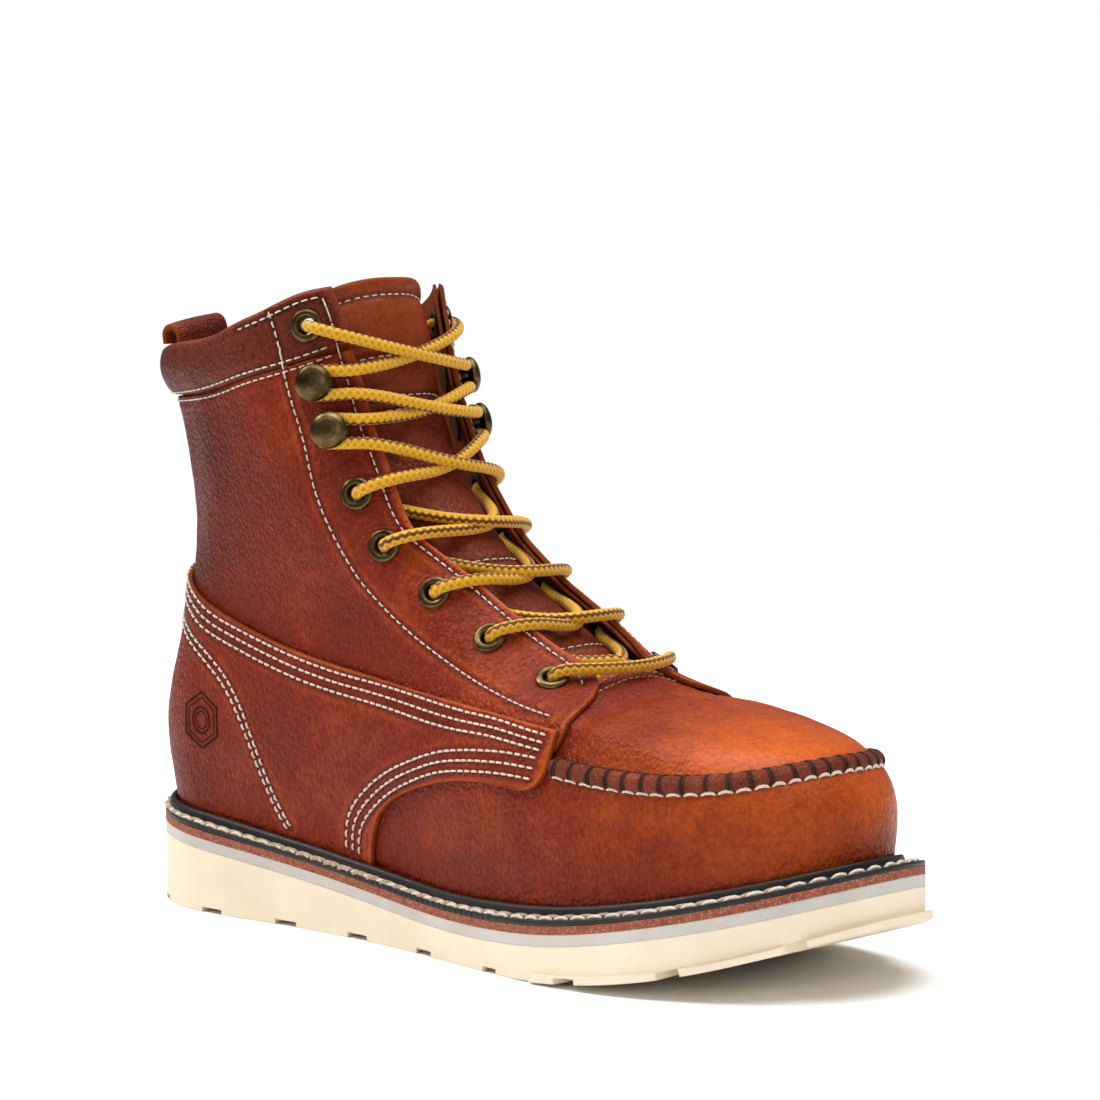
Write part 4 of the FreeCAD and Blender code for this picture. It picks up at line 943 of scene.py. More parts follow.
def layer(name, f, size, inner, outer, materials, body="boot", edge=0.8, step=1.2, rows=(),
          holes=(), tone=None, relief=None, raw=(1, 1, 1, 1), groove=0.3, bare_inside=False):
    """A piece of leather over the surface f between two offsets, its borders rounded.
    raw says which borders (a=0, a=1, b=0, b=1) show a cut edge."""
    a, b = [spaced(int(length / step), length, edge) for length in size]
    A, B = np.meshgrid(a, b, indexing="ij")
    P, N = normals_of(f, A, B)
    n, m = A.shape

    def depth_of(offset):
        return offset(A, B, P) if callable(offset) else offset
    da, db = np.zeros((n, m)), np.zeros((n, m))
    da[1:] = np.cumsum(np.linalg.norm(np.diff(P, axis=0), axis=-1), axis=0)
    db[:, 1:] = np.cumsum(np.linalg.norm(np.diff(P, axis=1), axis=-1), axis=1)
    borders = [da, da[-1:] - da, db, db[:, -1:] - db]
    d = np.min(borders, axis=0)
    drop = edge * (1 - np.sqrt(1 - (1 - np.clip(d / edge, 0, 1)) ** 2))
    shape = settle(P)
    to_row = near_rows(P, rows)
    pucker = 0.12 * bell(to_row - 2.1, 1.1) - groove * bell(to_row, 0.8)
    extra = relief(A, B, P) if relief else 0.0
    high = P + N * (depth_of(outer) + shape + pucker + extra - drop)[..., None]
    low = P + N * (depth_of(inner) + shape + np.minimum(extra, 0.0) * 0.5 + 0.35 * drop)[..., None]

    quads = grid_faces(n, m, reverse=True)
    i, j = n // 2, m // 2
    flip = np.cross(high[i + 1, j] - high[i, j], high[i, j + 1] - high[i, j]).dot(N[i, j]) < 0
    if flip:
        quads = quads[:, ::-1]
    cut = np.zeros((n - 1, m - 1), bool)
    for border in itertools.compress(borders, raw):
        cut |= (border[:-1, :-1] + border[1:, 1:]) / 2 < 0.42 * edge
    keep = ~punched((P[:-1, :-1] + P[1:, 1:]) / 2, holes).ravel()
    top = quads[keep]
    rim = rim_faces(n, m, flip)
    faces = [*top, *(top[:, ::-1] + n * m), *rim]
    kinds = [*cut.ravel()[keep].astype(int), *[2 if bare_inside else 1] * len(top), *[1] * len(rim)]
    obj = new_object(name, home(np.concatenate([high, low]).reshape(-1, 3)), faces, materials, kinds)

    # Tone: random variation; darker in the stitch grooves and lighter on the puckered ridge beside them,
    # painted shade and painted highlight on that relief; lighter along the rounded borders; then the
    # piece's own tone function.
    value = 0.44 + 0.10 * unevenness(P, 34.0, 9.1) + 0.05 * unevenness(P, 9.0, 1.7)
    value = value - 0.20 * bell(to_row, 1.3) + 0.10 * bell(to_row - 2.4, 1.0) + 0.22 * bell(d, 1.6)
    value = value + (tone(A, B, P) if tone else 0.0)
    paint_tone(obj, np.concatenate([value, np.full((n, m), 0.4)]))
    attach(obj, body)
    return obj


def site(side, x, z):
    """Point on the upper, outward normal, direction to the throat and direction up."""
    s = side * station(x, z)
    point = upper_point(s, z)
    along = upper_point(s + side * 0.01, z) - upper_point(s - side * 0.01, z)
    normal = unit(np.cross(along, upper_point(s, z + 0.5) - upper_point(s, z - 0.5)))
    if normal.dot(outward(point)) < 0:
        normal = -normal
    along = unit(along)
    up = np.cross(normal, along)
    return point, normal, along, up if up[2] > 0 else -up


HOLES = {side: [site(side, x, z)[:2] for x, z in EYELETS] for name, side in SIDES}
TRIPLE_GAP, COUNTER_GAP, EYESTAY_INSET = 3.1, 2.4, 3.4


def eyestay_row(side, line, lift, trim):
    return on_side(side, [(x - EYESTAY_INSET, z) for x, z in line], 0.0, lift, trim)


def heel_painted_shade(P):
    """Painted shade: darker round the ankle and the heel, where the back of the boot is away from the
    light.
    """
    x, z = P[..., 0], P[..., 2]
    tall = (0.25 + 0.75 * blend(z, 85, 125)) * (1 - blend(z, 160, 205))
    return -0.26 * (1 - blend(x, 25, 95)) * tall


def make_shaft(name, side):
    rows = [on_side(side, FACING_LINE + FACING_STITCH_END, trim=(0.06, 1.0)),
            eyestay_row(side, EYESTAY_EDGE[:-1], 0.0, (0.02, 0.93)),
            on_side(side, line_of(COLLAR_SEAM_Z, 4, 100, 14), -1.4)]
    right = [(213.5, 70.8), (215.2, 78), (212, 85.5), (204, 91)]
    right += [p for p in reversed(EYESTAY_EDGE) if 91.5 < p[1] < 192] + [(105, 192.8)]
    bottom = [back_at(SHAFT_LOW_Z(9))] + line_of(SHAFT_LOW_Z, 26, 213.5)
    top = [back_at(COLLAR_SEAM_Z(0))] + line_of(COLLAR_SEAM_Z, 22, 105)
    top[-1], bottom[-1] = right[-1], right[0]
    f = side_panel(side, bottom, top, back_line(SHAFT_LOW_Z(9), COLLAR_SEAM_Z(0)), right)

    def skived(A, B, P):
        return -0.35 * (1 - blend(P[..., 2] - FOXING_TOP_Z(P[..., 0]), -5, 0))

    # Painted shade round the heel, and painted light growing towards the front of the quarter.
    def shaft_painted_light(A, B, P):
        return heel_painted_shade(P) - 0.01 + 0.08 * blend(P[..., 0], 90, 200)
    shaft = layer("shaft_quarter_" + name, f, (200, 112), -LEATHER, skived,
                  ["tan", "edge", "flesh"], rows=rows, holes=HOLES[side], raw=(0, 1, 0, 0),
                  tone=shaft_painted_light, bare_inside=True)
    stand_for(shaft, "tan_leather", "quarter_" + name)
    return rows


def make_lower_quarter(name, side):
    closing = 1 - 0.28 * blend(np.linspace(0, 1, ROW_POINTS), 0.72, 1.0)[:, None]
    rows = [on_side(side, TRIPLE_STITCH, -TRIPLE_GAP * k * closing, ON_TOP) for k in range(3)]
    rows += [on_side(side, ARCH_STITCH, -TRIPLE_GAP * k, ON_TOP) for k in range(3)]
    rows += [on_side(side, COUNTER_STITCH, -COUNTER_GAP * k, ON_TOP) for k in range(2)]
    bottom = [back_at(wall_bottom(0))] + line_of(wall_bottom, 22, 125)
    right = ARCH + [(214.2, 76.5)]
    top = [back_at(FOXING_TOP_Z(8))] + line_of(FOXING_TOP_Z, 24, 214.2)
    bottom[-1], top[-1] = right[0], right[-1]
    f = side_panel(side, bottom, top, back_line(wall_bottom(0), FOXING_TOP_Z(8)), right)
    # Its tone is the painted shade round the heel, a touch lighter.
    lower = layer("lower_quarter_leather_" + name, f, (200, 75), CLEAR, ON_TOP,
                  ["tan", "edge", "flesh"], rows=rows, raw=(0, 1, 0, 1), step=1.1,
                  tone=lambda A, B, P: heel_painted_shade(P) + 0.02, bare_inside=True)
    stand_for(lower, "tan_leather", "lower_quarter_" + name)
    return rows


def make_facing(name, side):
    foot = (200.5, 90.5)
    bottom = [(189, 83.6), (195, 86.3), foot]
    top = [(80, 206), (89, 209.5), (98.2, 213.0)]
    right = [foot] + [(x - 0.8, z) for x, z in reversed(EYESTAY_EDGE) if x < 195]
    f = side_panel(side, bottom, top, FACING_LINE[::-1], right)
    facing = layer("facing_leather_" + name, f, (18, 170), UNDER - FACING - 0.1, UNDER - 0.1,
                   ["flesh", "edge"], holes=HOLES[side], step=1.6, edge=0.5, raw=(0, 1, 0, 0))
    stand_for(facing, "suede", "eyestay_facing_" + name)


def make_lining(name, side):
    def low_z(x):
        return board_top(x) + 0.3

    def top_z(x):
        return COLLAR_TOP_Z(x) - 1
    low = [(float(BACK_X(37)), float(low_z(0)))] + line_of(low_z, 22, 152)
    right = [(152, float(low_z(152))), (151, 45), (149, 70), (145, 90), (129, 103.5)]
    right += [(x - 1.2, z - 0.6) for x, z in reversed(FACING_LINE[:7])]
    top = [(float(BACK_X(195)), float(top_z(0)))] + line_of(top_z, 22, 79)
    low[-1], top[-1] = right[0], right[-1]
    f = side_panel(side, low, top, back_line(low_z(0), top_z(0)), right)
    cloth = layer("lining_cloth_" + name, f, (150, 170), UNDER - LINING, UNDER, ["knit"] * 3,
                  step=2.6, edge=0.4, groove=0.0)
    stand_for(cloth, "lining_mesh", "lining_" + name)


def make_side(name, side):
    upper_rows = make_shaft(name, side)
    lower_rows = make_lower_quarter(name, side)
    make_facing(name, side)
    make_lining(name, side)
    stitches("rows_lower_" + name, lower_rows, "white")
    stitches("rows_upper_" + name, upper_rows, "white", pitch=3.1, radius=0.3)


for side_name, side_sign in SIDES:
    make_side(side_name, side_sign)


# ---- vamp, plug and moc seam ----------------------------------------------------------
VAMP_START = 112.0
PLUG_BACK, ROLL_BACK = 203.5, 213.5
PLUG_CORNER = 38.0      # how far round the toe from its middle the plug's front corners are
PLUG_FIT = 0.991        # narrows the plug a little inside the seam
THROAT = (176.0, 2.0)


def vamp_top(x):
    k = blend(x, 203, 217)
    return VAMP_LAP(np.minimum(x, 215)) * (1 - k) + (SEAM_Z(x) - 0.3) * k


def vamp_surface(a, b):
    a, b = np.broadcast_arrays(np.asarray(a, float), np.asarray(b, float))
    k = 2 * a - 1

    def reach(z):
        lap = girth(VAMP_START, z)
        return lap + (sum(lengths(z)) - lap) * (1 - np.abs(k))

    def step(z):
        x = around(1, reach(z), z)[..., 0]
        low = wall_bottom(x)
        return low + b * (vamp_top(x) - low)
    z = settled(45.0, k, step)
    return around(k, reach(z), z)


def seam_point(h):
    """The moc seam, by its length from the middle of the toe."""
    return front_point(h, settled(66.0, h, lambda z: SEAM_Z(front_point(h, z)[..., 0])))


def seam_reach(x):
    h = np.linspace(0.0, 150.0, 1500)
    return float(np.interp(-x, -seam_point(h)[:, 0], h))


def top_height(x, y):
    """The highest point of the foot over (x, y)."""
    low, high = np.full(x.shape, 60.0), np.full(x.shape, 110.0)
    for _ in range(40):
        mid = (low + high) / 2
        within = inside(x, y, mid)
        low, high = np.where(within, mid, low), np.where(within, high, mid)
    return low


def plug_surface():
    reach = seam_reach(PLUG_BACK)

    def rim(r):
        return seam_point(np.asarray(r, float))[..., :2]

    def back(t):
        t = np.asarray(t, float)[..., None]
        return rim(-reach) * (1 - t) + rim(reach) * t
    at = coons(back, lambda t: rim((2 * np.asarray(t, float) - 1) * PLUG_CORNER),
               lambda t: rim(-(reach + (PLUG_CORNER - reach) * np.asarray(t, float))),
               lambda t: rim(reach + (PLUG_CORNER - reach) * np.asarray(t, float)))

    def f(a, b):
        xy = at(*np.broadcast_arrays(np.asarray(a, float), np.asarray(b, float)))
        x = xy[..., 0]
        mid = centre_y(x, 70.0)
        y = mid + (xy[..., 1] - mid) * PLUG_FIT
        return np.stack([x, y, top_height(np.minimum(x, 289.6), y)], -1)
    return f


def throat_creases(A, B, P):
    """Fine folds that fan out over the plug from the throat, which lies under the quarters."""
    x, y = P[..., 0] - THROAT[0], P[..., 1] - THROAT[1]
    fan, far = np.arctan2(y, x), np.hypot(x, y)
    folds = np.stack([fan * 26.0, far / 24.0, np.zeros_like(x)], -1)
    cross = np.stack([fan * 5.0, far / 5.5, np.zeros_like(x)], -1)
    ridge = np.abs(unevenness(folds, 1.0)) * 0.7 + np.abs(unevenness(cross, 1.0, 5.5)) * 0.9
    amount = 0.55 * (1 - blend(P[..., 0], 218, 256)) * (0.35 + 0.65 * blend(P[..., 0], 200, 212))
    return amount * (0.25 - 0.95 * ridge) - (ON_TOP + 0.05) * (1 - blend(P[..., 0], 218, 230))


def make_toe():
    # Painted light: the vamp lighter towards the toe and higher up, where the light falls, with painted
    # shade along its bottom.
    def vamp_painted_light(A, B, P):
        high = 0.45 + 0.55 * blend(P[..., 2], 32, 62)
        return 0.02 + 0.24 * blend(P[..., 0], 215, 290) * high - 0.06 * (1 - blend(P[..., 2], 28, 40))

    # Painted light: the plug lighter overall and towards the toe, with painted shade at its back by the
    # throat.
    def plug_painted_light(A, B, P):
        return 0.10 + 0.28 * blend(P[..., 0], 238, 288) - 0.06 * (1 - blend(P[..., 0], 204, 212))
    vamp = layer("vamp_leather", vamp_surface, (360, 36), -LEATHER, 0.0, ["tan", "tan", "flesh"],
                 tone=vamp_painted_light, bare_inside=True, raw=(0, 0, 0, 0), step=1.1)
    stand_for(vamp, "tan_leather", "vamp")
    plug = layer("plug_leather", plug_surface(), (92, 86), -LEATHER, 0.0, ["tan", "tan", "flesh"],
                 tone=plug_painted_light, relief=throat_creases, step=0.8, raw=(0, 0, 0, 0), bare_inside=True)
    stand_for(plug, "tan_leather", "moc_plug")


ROLL_HALF_HIGH, ROLL_OUT = 2.9, 2.3
WRAP_PITCH, WRAP_GAP, WRAP_R = 6.7, 0.42, 0.28
SEAM_STEP = 0.45


def seam_frame(reach):
    """Points and normals along the moc seam, and the direction up across it."""
    h = np.arange(-reach, reach, SEAM_STEP)
    z = seam_point(h)[..., 2]
    half = np.full(len(h), 0.5)
    point, normal = normals_of(lambda a, b: front_point(h - 0.5 + a, z - 0.5 + b), half, half, 0.4)
    point = point + normal * settle(point)[:, None]
    up = np.cross(normal, unit(np.gradient(point, axis=0)))
    return point, normal, up * np.sign(up[:, 2])[:, None], run_along(point)


def make_moc_seam():
    """The plug's edge rolled over the vamp's and bound by pairs of dark wraps."""
    point, normal, up, run = seam_frame(seam_reach(ROLL_BACK))
    draw = np.random.RandomState(11)
    wraps = np.arange(WRAP_PITCH * 0.6, run[-1], WRAP_PITCH)
    wraps = wraps + draw.uniform(-0.5, 0.5, len(wraps))
    gap = np.min(np.abs(run[:, None] - wraps), axis=1)
    pinch = 1 - 0.16 * bell(gap, 1.1)
    shrink = 0.55 + 0.45 * np.clip(np.minimum(run, run[-1] - run) / 4.0, 0, 1)
    high = ROLL_HALF_HIGH * shrink * (0.5 + 0.5 * pinch)
    out = ROLL_OUT * shrink * pinch
    wave = 0.10 * unevenness(point, 6.0, 2.2) + 0.15
    rings = [point + up * (high * np.sin(t))[:, None] + normal * (out * np.cos(t) + wave)[:, None]
             for t in np.linspace(-0.62 * np.pi, 0.62 * np.pi, 17)]
    grid = np.stack(rings + [point - normal * 0.9], 1)
    faces = grid_faces(*grid.shape[:2], (False, True), reverse=True).tolist()
    index = np.arange(grid[..., 0].size).reshape(grid.shape[:2])
    faces += [index[0], index[-1, ::-1]]
    roll = new_object("moc_roll", home(grid.reshape(-1, 3)), faces, ["roll"])
    # Tone: random variation, darker where the wraps pinch the roll as painted shade.
    paint_tone(roll, 0.5 + 0.25 * unevenness(grid, 12.0, 4.0) - 0.28 * bell(gap, 0.9)[:, None])
    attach(roll, "boot")
    stand_for(roll, "dark_leather", "moc_seam")

    threads = []
    arc = np.linspace(-0.50 * np.pi, 0.50 * np.pi, 15)
    for wrap in wraps:
        for shift in (-WRAP_GAP, WRAP_GAP):
            s = wrap + shift + draw.uniform(-0.25, 0.25) * np.sin(arc)
            p, nn, uu = read_line(s, run, point, normal, up)
            core = (p + uu * (ROLL_HALF_HIGH * np.sin(arc))[:, None]
                    + nn * (ROLL_OUT * 0.86 * np.cos(arc) + 0.32)[:, None])
            threads.append(hose("wrap", home(core), WRAP_R * MM, "brown_thread", 6))
    joined = join(threads, "moc_wraps", "brown_thread")
    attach(joined, "boot")
    stand_for(joined, "dark_leather")

    def edge_row(rise, lift):
        keep = (run > 2) & (run < run[-1] - 2)
        return [Row((point + up * rise)[keep], normal[keep], lift)]
    stitches("moc_row_lower", edge_row(-3.35, 0.15), "white", pitch=WRAP_PITCH * 0.8, radius=0.58,
             fill=0.86, bow=0.45)
    stitches("moc_row_upper", edge_row(3.0, 0.1), "brown_thread", pitch=WRAP_PITCH / 2,
             radius=0.34, fill=0.7)


make_toe()
make_moc_seam()


# ---- collar, backstay, pull loop, tongue ----------------------------------------------
COLLAR_FRONT_X = (104.9, 98.2)      # x of the collar's front edge, low and high


def collar_surface(a, b):
    a, b = np.broadcast_arrays(np.asarray(a, float), np.asarray(b, float))
    k = 2 * a - 1

    def reach(z):
        low, high = [girth(x, z) for x in COLLAR_FRONT_X]
        return np.abs(k) * (low + (high - low) * b)

    def step(z):
        x = around(1, reach(z), z)[..., 0]
        low = COLLAR_SEAM_Z(x) + 0.5
        return low + b * (COLLAR_TOP_Z(x) - low)
    z = settled(190.0, k, step)
    return around(k, reach(z), z)


def crossing_back(half, z0, z1):
    """A band that crosses the back of the heel, half as wide either side of it."""
    def f(a, b):
        a, b = np.broadcast_arrays(np.asarray(a, float), np.asarray(b, float))
        k = 2 * a - 1
        return around(k, np.abs(k) * half, z0 + (z1 - z0) * b)
    return f


def make_collar():
    def at_back(P):
        return 1 - blend(P[..., 0], 52, 78)

    def over_puff(p):
        return settle(p) + 0.95 * at_back(p)

    def puffed(A, B, P):
        folds = 0.22 * unevenness(P * np.array([1.0, 1.0, 0.35]), 5.0, 8.0)
        round_over = np.sin(np.pi * np.clip(B, 0, 1)) ** 0.8
        return 0.3 + COLLAR_PUFF * at_back(P) * (round_over + folds / 3.0)

    def back_of(A, B, P):
        return -2.0 + 0.8 * blend(P[..., 0], 60, 82)
    rows = []
    for name, side in SIDES:
        rows += [on_side(side, line_of(COLLAR_SEAM_Z, 4, 100, 14), 1.6, 0.35, relief=over_puff),
                 on_side(side, line_of(COLLAR_TOP_Z, 66, 95, 8), -3.0, 0.35),
                 on_side(side, FACING_LINE[:3], 0.0, 0.4, (0.02, 0.80)),
                 eyestay_row(side, EYESTAY_EDGE[:4], 0.35, (0.16, 0.72))]
    # Tone: painted shade, darker towards the back of the collar.
    collar = layer("padded_collar", collar_surface, (225, 22), back_of, puffed,
                   ["dark", "edge", "flesh"], rows=rows, edge=1.5, step=0.9,
                   holes=HOLES[1][5:] + HOLES[-1][5:], raw=(1, 1, 0, 0),
                   tone=lambda A, B, P: 0.02 - 0.12 * (1 - blend(P[..., 0], 5, 60)))
    stand_for(collar, "dark_leather", "collar", "collar_foam")
    stitches("rows_collar", rows, "white", pitch=3.1, radius=0.3)


STAY_HALF, STAY_ROW, STAY_TOP_Z = 8.5, 6.6, 172.5
ROOT_HALF, ROOT_Z = 11.5, (178, 191)


def make_back():
    def lift(A, B, P):
        return CLEAR + STRAP + ON_TOP * (1 - blend(P[..., 2], 121, 131))
    stay_face = crossing_back(STAY_HALF, float(RIB_TOP(0)) + 1.4, STAY_TOP_Z)
    rows = [row_over(stay_face, 0.5 + way * 0.5 * STAY_ROW / STAY_HALF, np.linspace(0.01, 0.99, 200),
                     depth=lambda *at: lift(*at) + settle(at[2])) for way in (-1, 1)]
    # Tone: a share of the painted shade round the heel.
    stay = layer("backstay_leather", stay_face, (17, 134), lambda *at: lift(*at) - STRAP, lift,
                 ["dark", "edge", "flesh"], raw=(1, 1, 0, 0), step=1.0,
                 tone=lambda A, B, P: heel_painted_shade(P) * 0.6)
    stand_for(stay, "dark_leather", "backstay")
    stitches("rows_back", rows, "white", pitch=3.2, radius=0.33)

    behind = UNDER - LINING - CLEAR
    root = layer("pull_loop_root", crossing_back(ROOT_HALF, *ROOT_Z), (23, 13), behind - STRAP,
                 behind, ["loop", "edge", "flesh"])
    stand_for(root, "pull_leather", "pull_loop_anchor")


LOOP_X, LOOP_Z, LOOP_R, LOOP_WIDTH, LOOP_TILT = 0.2, 196.1, 3.9, 23.0, math.radians(9.0)
LOOP_LEG_Z, LOOP_FOOT, LOOP_EDGE = 190.3, 192.2, 0.8


def make_pull_loop():
    """A strap bent over into an arch, a little askew, its cut edges rough."""
    turn = np.linspace(0, np.pi, 21)
    leg = np.linspace(LOOP_LEG_Z, LOOP_Z, 8)[:-1]
    out = np.concatenate([np.ones(len(leg)), np.cos(turn), -np.ones(len(leg))])[:, None]
    up = np.concatenate([np.zeros(len(leg)), np.sin(turn), np.zeros(len(leg))])[:, None]
    path_z = np.concatenate([leg, LOOP_Z + LOOP_R * np.sin(turn), leg[::-1]])[:, None]
    border = [0.9, 0.95, 0.985, 1]
    across = np.concatenate([[-b for b in border[::-1]], np.linspace(-0.8, 0.8, 21), border])
    y = across * LOOP_WIDTH / 2
    near = np.clip((LOOP_WIDTH / 2 - np.abs(y)) / LOOP_EDGE, 0, 1)
    drop = LOOP_EDGE * (1 - np.sqrt(1 - (1 - near) ** 2))
    bend = 0.5 * np.cos(y / 9.0) * up

    def skin(r):
        rise = path_z + up * r - LOOP_Z
        return np.stack([LOOP_X + out * (LOOP_R + r), y * math.cos(LOOP_TILT) - rise * math.sin(LOOP_TILT),
                         LOOP_Z + y * math.sin(LOOP_TILT) + rise * math.cos(LOOP_TILT)], -1)
    verts = np.concatenate([skin(STRAP / 2 - drop + bend), skin(0.6 * drop - STRAP / 2 + bend)])
    verts = verts.reshape(-1, 3)
    verts[:, 2] = np.maximum(verts[:, 2], LOOP_FOOT + 0.05)
    verts += 0.12 * unevenness(verts, 5.0)[:, None]

    n, m = bend.shape
    top = grid_faces(n, m)
    rim = rim_faces(n, m, True)
    j = np.arange(m - 1)
    kinds = [*np.tile((j < 2) | (j > m - 4), n - 1), *[1] * (len(top) + len(rim))]
    loop = new_object("pull_loop_strap", home(verts), [*top, *(top[:, ::-1] + n * m), *rim],
                      ["loop", "edge"], kinds)
    paint_tone(loop, 0.5 + 0.4 * unevenness(verts, 9.0, 6.0))
    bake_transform(loop)
    stand_for(loop, "pull_leather", "pull_loop")


TONGUE_LOW_Z, TONGUE_TOP_Z, TONGUE_LONG = 92.0, 219.0, 128
TONGUE_DEPTH, TONGUE_SKIN, TONGUE_PAD = 8.3, 1.3, 3.6
TONGUE_HALF = Spline([TONGUE_LOW_Z, 130, 170, TONGUE_TOP_Z], [27, 32, 37, 40])
CHANNELS = (0.955, 0.80, 0.70, 0.665, 0.30, 0.10)       # where it's sewn through, as b


def tongue_surface(a, b):
    a, b = np.broadcast_arrays(np.asarray(a, float), np.asarray(b, float))
    k = 2 * a - 1
    top = TONGUE_TOP_Z - 1.5 - 8 * np.abs(k) ** 2.5
    low = TONGUE_LOW_Z - 3 * k * k
    z = low + (top - low) * b
    return front_point(k * TONGUE_HALF(z), z)


def tongue_relief(A, B, P):
    """Padded rolls between the sewn channels, fullest near the top."""
    near = np.min([np.abs(B - c) * TONGUE_LONG for c in CHANNELS], axis=0)
    puff = np.clip(near / 6.0, 0, 1) ** 0.6 * (0.4 + 1.4 * blend(B, 0.55, 0.85))
    side = 1 - blend(np.abs(2 * A - 1), 0.7, 1.0)
    folds = 0.35 * unevenness(P * np.array([0.5, 0.5, 1.5]), 7.0, 2.0)
    return (puff + folds) * side - 0.4


def make_tongue():
    a = np.linspace(0.12, 0.88, 200)
    rows = [row_over(tongue_surface, a, c, 0.05,
                     lambda *at: tongue_relief(*at) + settle(at[2]) - TONGUE_DEPTH)
            for c in CHANNELS]
    flat = [row_over(tongue_surface, a, c) for c in CHANNELS]
    # Tone: painted shade low on the tongue, under the laces, and painted light towards its top.
    tongue = layer("padded_tongue", tongue_surface, (70, TONGUE_LONG),
                   -TONGUE_DEPTH - TONGUE_SKIN - TONGUE_PAD, -TONGUE_DEPTH,
                   ["dark", "edge", "knit"], body="tongue", rows=flat, edge=1.6, step=1.0,
                   relief=tongue_relief, raw=(0, 0, 0, 1), groove=0.25, bare_inside=True,
                   tone=lambda A, B, P: 0.14 + 0.20 * blend(B, 0.6, 0.9))
    stand_for(tongue, "dark_leather", "tongue", "tongue_padding")
    stitches("rows_tongue", rows, "white", pitch=3.1, radius=0.28, body="tongue")


make_collar()
make_back()
make_pull_loop()
make_tongue()


# ---- eyelets and hooks ----------------------------------------------------------------
TURNED_SIDES = 56
CORNER, CORNER_INNER = 0.18, 0.35       # how far a corner's easing reaches, and its inner share


def eased(profile):
    """A closed (radius, height) profile with each corner cut twice."""
    here = np.array(profile)
    before, after = np.roll(here, 1, 0), np.roll(here, -1, 0)
    cuts = []
    for other, share in ((before, 1), (before, CORNER_INNER), (after, CORNER_INNER), (after, 1)):
        span = np.linalg.norm(other - here, axis=1)[:, None]
        reach = np.minimum(CORNER, 0.4 * span) * share
        cuts.append(here + (other - here) / np.maximum(span, 1e-6) * reach)
    path = np.stack(cuts, 1).reshape(-1, 2)
    return np.maximum(path, [0.0, -np.inf])


def turned(name, profile, side, spots, node):
    """Copies of one turned piece, one at each spot of a side."""
    radius, height = eased(profile).T[..., None, None]
    angle = np.arange(TURNED_SIDES)[:, None] * 2 * np.pi / TURNED_SIDES
    shell = grid_faces(len(radius), TURNED_SIDES, (True, True))
    verts, faces = [], []
    for x, z in spots:
        point, normal, along, up = site(side, x, z)
        ring = np.cos(angle) * along + np.sin(angle) * up
        faces += (shell + len(verts) * len(shell)).tolist()
        verts.append((point + ring * radius + normal * height).reshape(-1, 3))
    obj = new_object(name, home(np.concatenate(verts)), faces, ["brass"])
    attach(obj, "boot")
    stand_for(obj, "antique_brass", node)


def make_hardware():
    under = UNDER - FACING - 0.62
    rolled = [(2.9, under - 0.35), (3.2, under - 0.55), (4.6, under - 0.5), (4.9, under - 0.2),
              (4.8, under), (3.3, under), (3.3, 0.55), (5.45, 0.5), (5.55, 0.75), (5.3, 1.2),
              (4.7, 1.55), (4.0, 1.62), (3.3, 1.4), (2.95, 0.9), (2.9, 0.4)]
    dome = [(6.25 * math.cos(t), 5.85 + 2.9 * math.sin(t))
            for t in np.radians([0, 12, 26, 42, 58, 74])]
    hook = [(0.0, under - 0.5), (4.4, under - 0.5), (4.4, under), (1.9, under), (1.9, 0.4),
            (5.6, 0.4), (5.6, 0.9), (5.1, 1.35), (3.2, 1.5), (2.1, 1.9), (1.9, 3.0), (2.0, 4.3),
            (2.6, 4.75), (5.4, 4.85), (6.1, 5.1)] + dome + [(0.0, 8.75)]
    for name, side in SIDES:
        turned("eyelet_rings_" + name, rolled, side, EYELETS, "eyelets_" + name)
        turned("hook_studs_" + name, hook, side, HOOKS, "hooks_" + name)


make_hardware()


# ---- heel mark and throat rows --------------------------------------------------------
MARK_X, MARK_Z, MARK_R = 40.6, 65.1, 9.6
MARK_LIFT = ON_TOP - 0.12


def make_heel_mark():
    """A burnt outline on the lower quarter: a hexagon with a round hole, of no maker."""
    turn = np.linspace(0, 2 * np.pi, 7)
    corners = np.stack([np.sin(turn), np.cos(turn)], 1)
    sides = [np.linspace(p, q, 16, endpoint=False) for p, q in zip(corners, corners[1:])]
    hexagon = np.concatenate(sides + [corners[:1]])
    turn = np.linspace(0, 2 * np.pi, 61)
    circle = np.stack([np.cos(turn), np.sin(turn)], 1)
    lines = []
    for shape, r, thick in ((hexagon, MARK_R, 0.42), (hexagon, MARK_R - 1.9, 0.3),
                            (circle, 4.4, 0.42), (circle, 2.9, 0.3)):
        places = [site(-1, MARK_X + x, MARK_Z + z)[:2] for x, z in shape * r]
        point, normal = [np.array(part) for part in zip(*places)]
        core = point + normal * (MARK_LIFT + settle(point))[:, None]
        lines.append(hose("burnt_line", home(core), thick * MM, "mark", 8))
    mark = join(lines, "heel_mark", "mark")
    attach(mark, "boot")
    stand_for(mark, "tan_leather")


def make_throat_rows():
    plug = plug_surface()
    rows = [row_over(plug, np.linspace(0.04, 0.96, 160), b,
                     depth=lambda *at: throat_creases(*at) + settle(at[2]))
            for b in (0.022, 0.052)]
    stitches("rows_throat", rows, "tan_thread", pitch=2.9, radius=0.26)


make_heel_mark()
make_throat_rows()


# ---- welt -----------------------------------------------------------------------------
SOLE_OUTLINE = [(0, 0), (6, -21), (28, -37), (70, -40), (112, -40), (152, -44.5), (190, -52),
                (225, -55.5), (260, -50), (286, -36), (304, -14), (310, 6), (304, 27), (286, 43),
                (262, 52), (235, 55.5), (205, 52), (170, 43.5), (130, 37.5), (90, 37), (45, 38),
                (14, 29)]
SOLE_CENTRE = np.array([158.0, 0.0])
LOOP_POINTS, FOOT_STEPS = 1500, 26
RIB_FROM, RIB_TO, WELT_INSIDE = 0.45, 3.1, -5.7     # out from the foot's own plan
RIDGE_PITCH, RIDGE_DEPTH = 3.1, 0.42
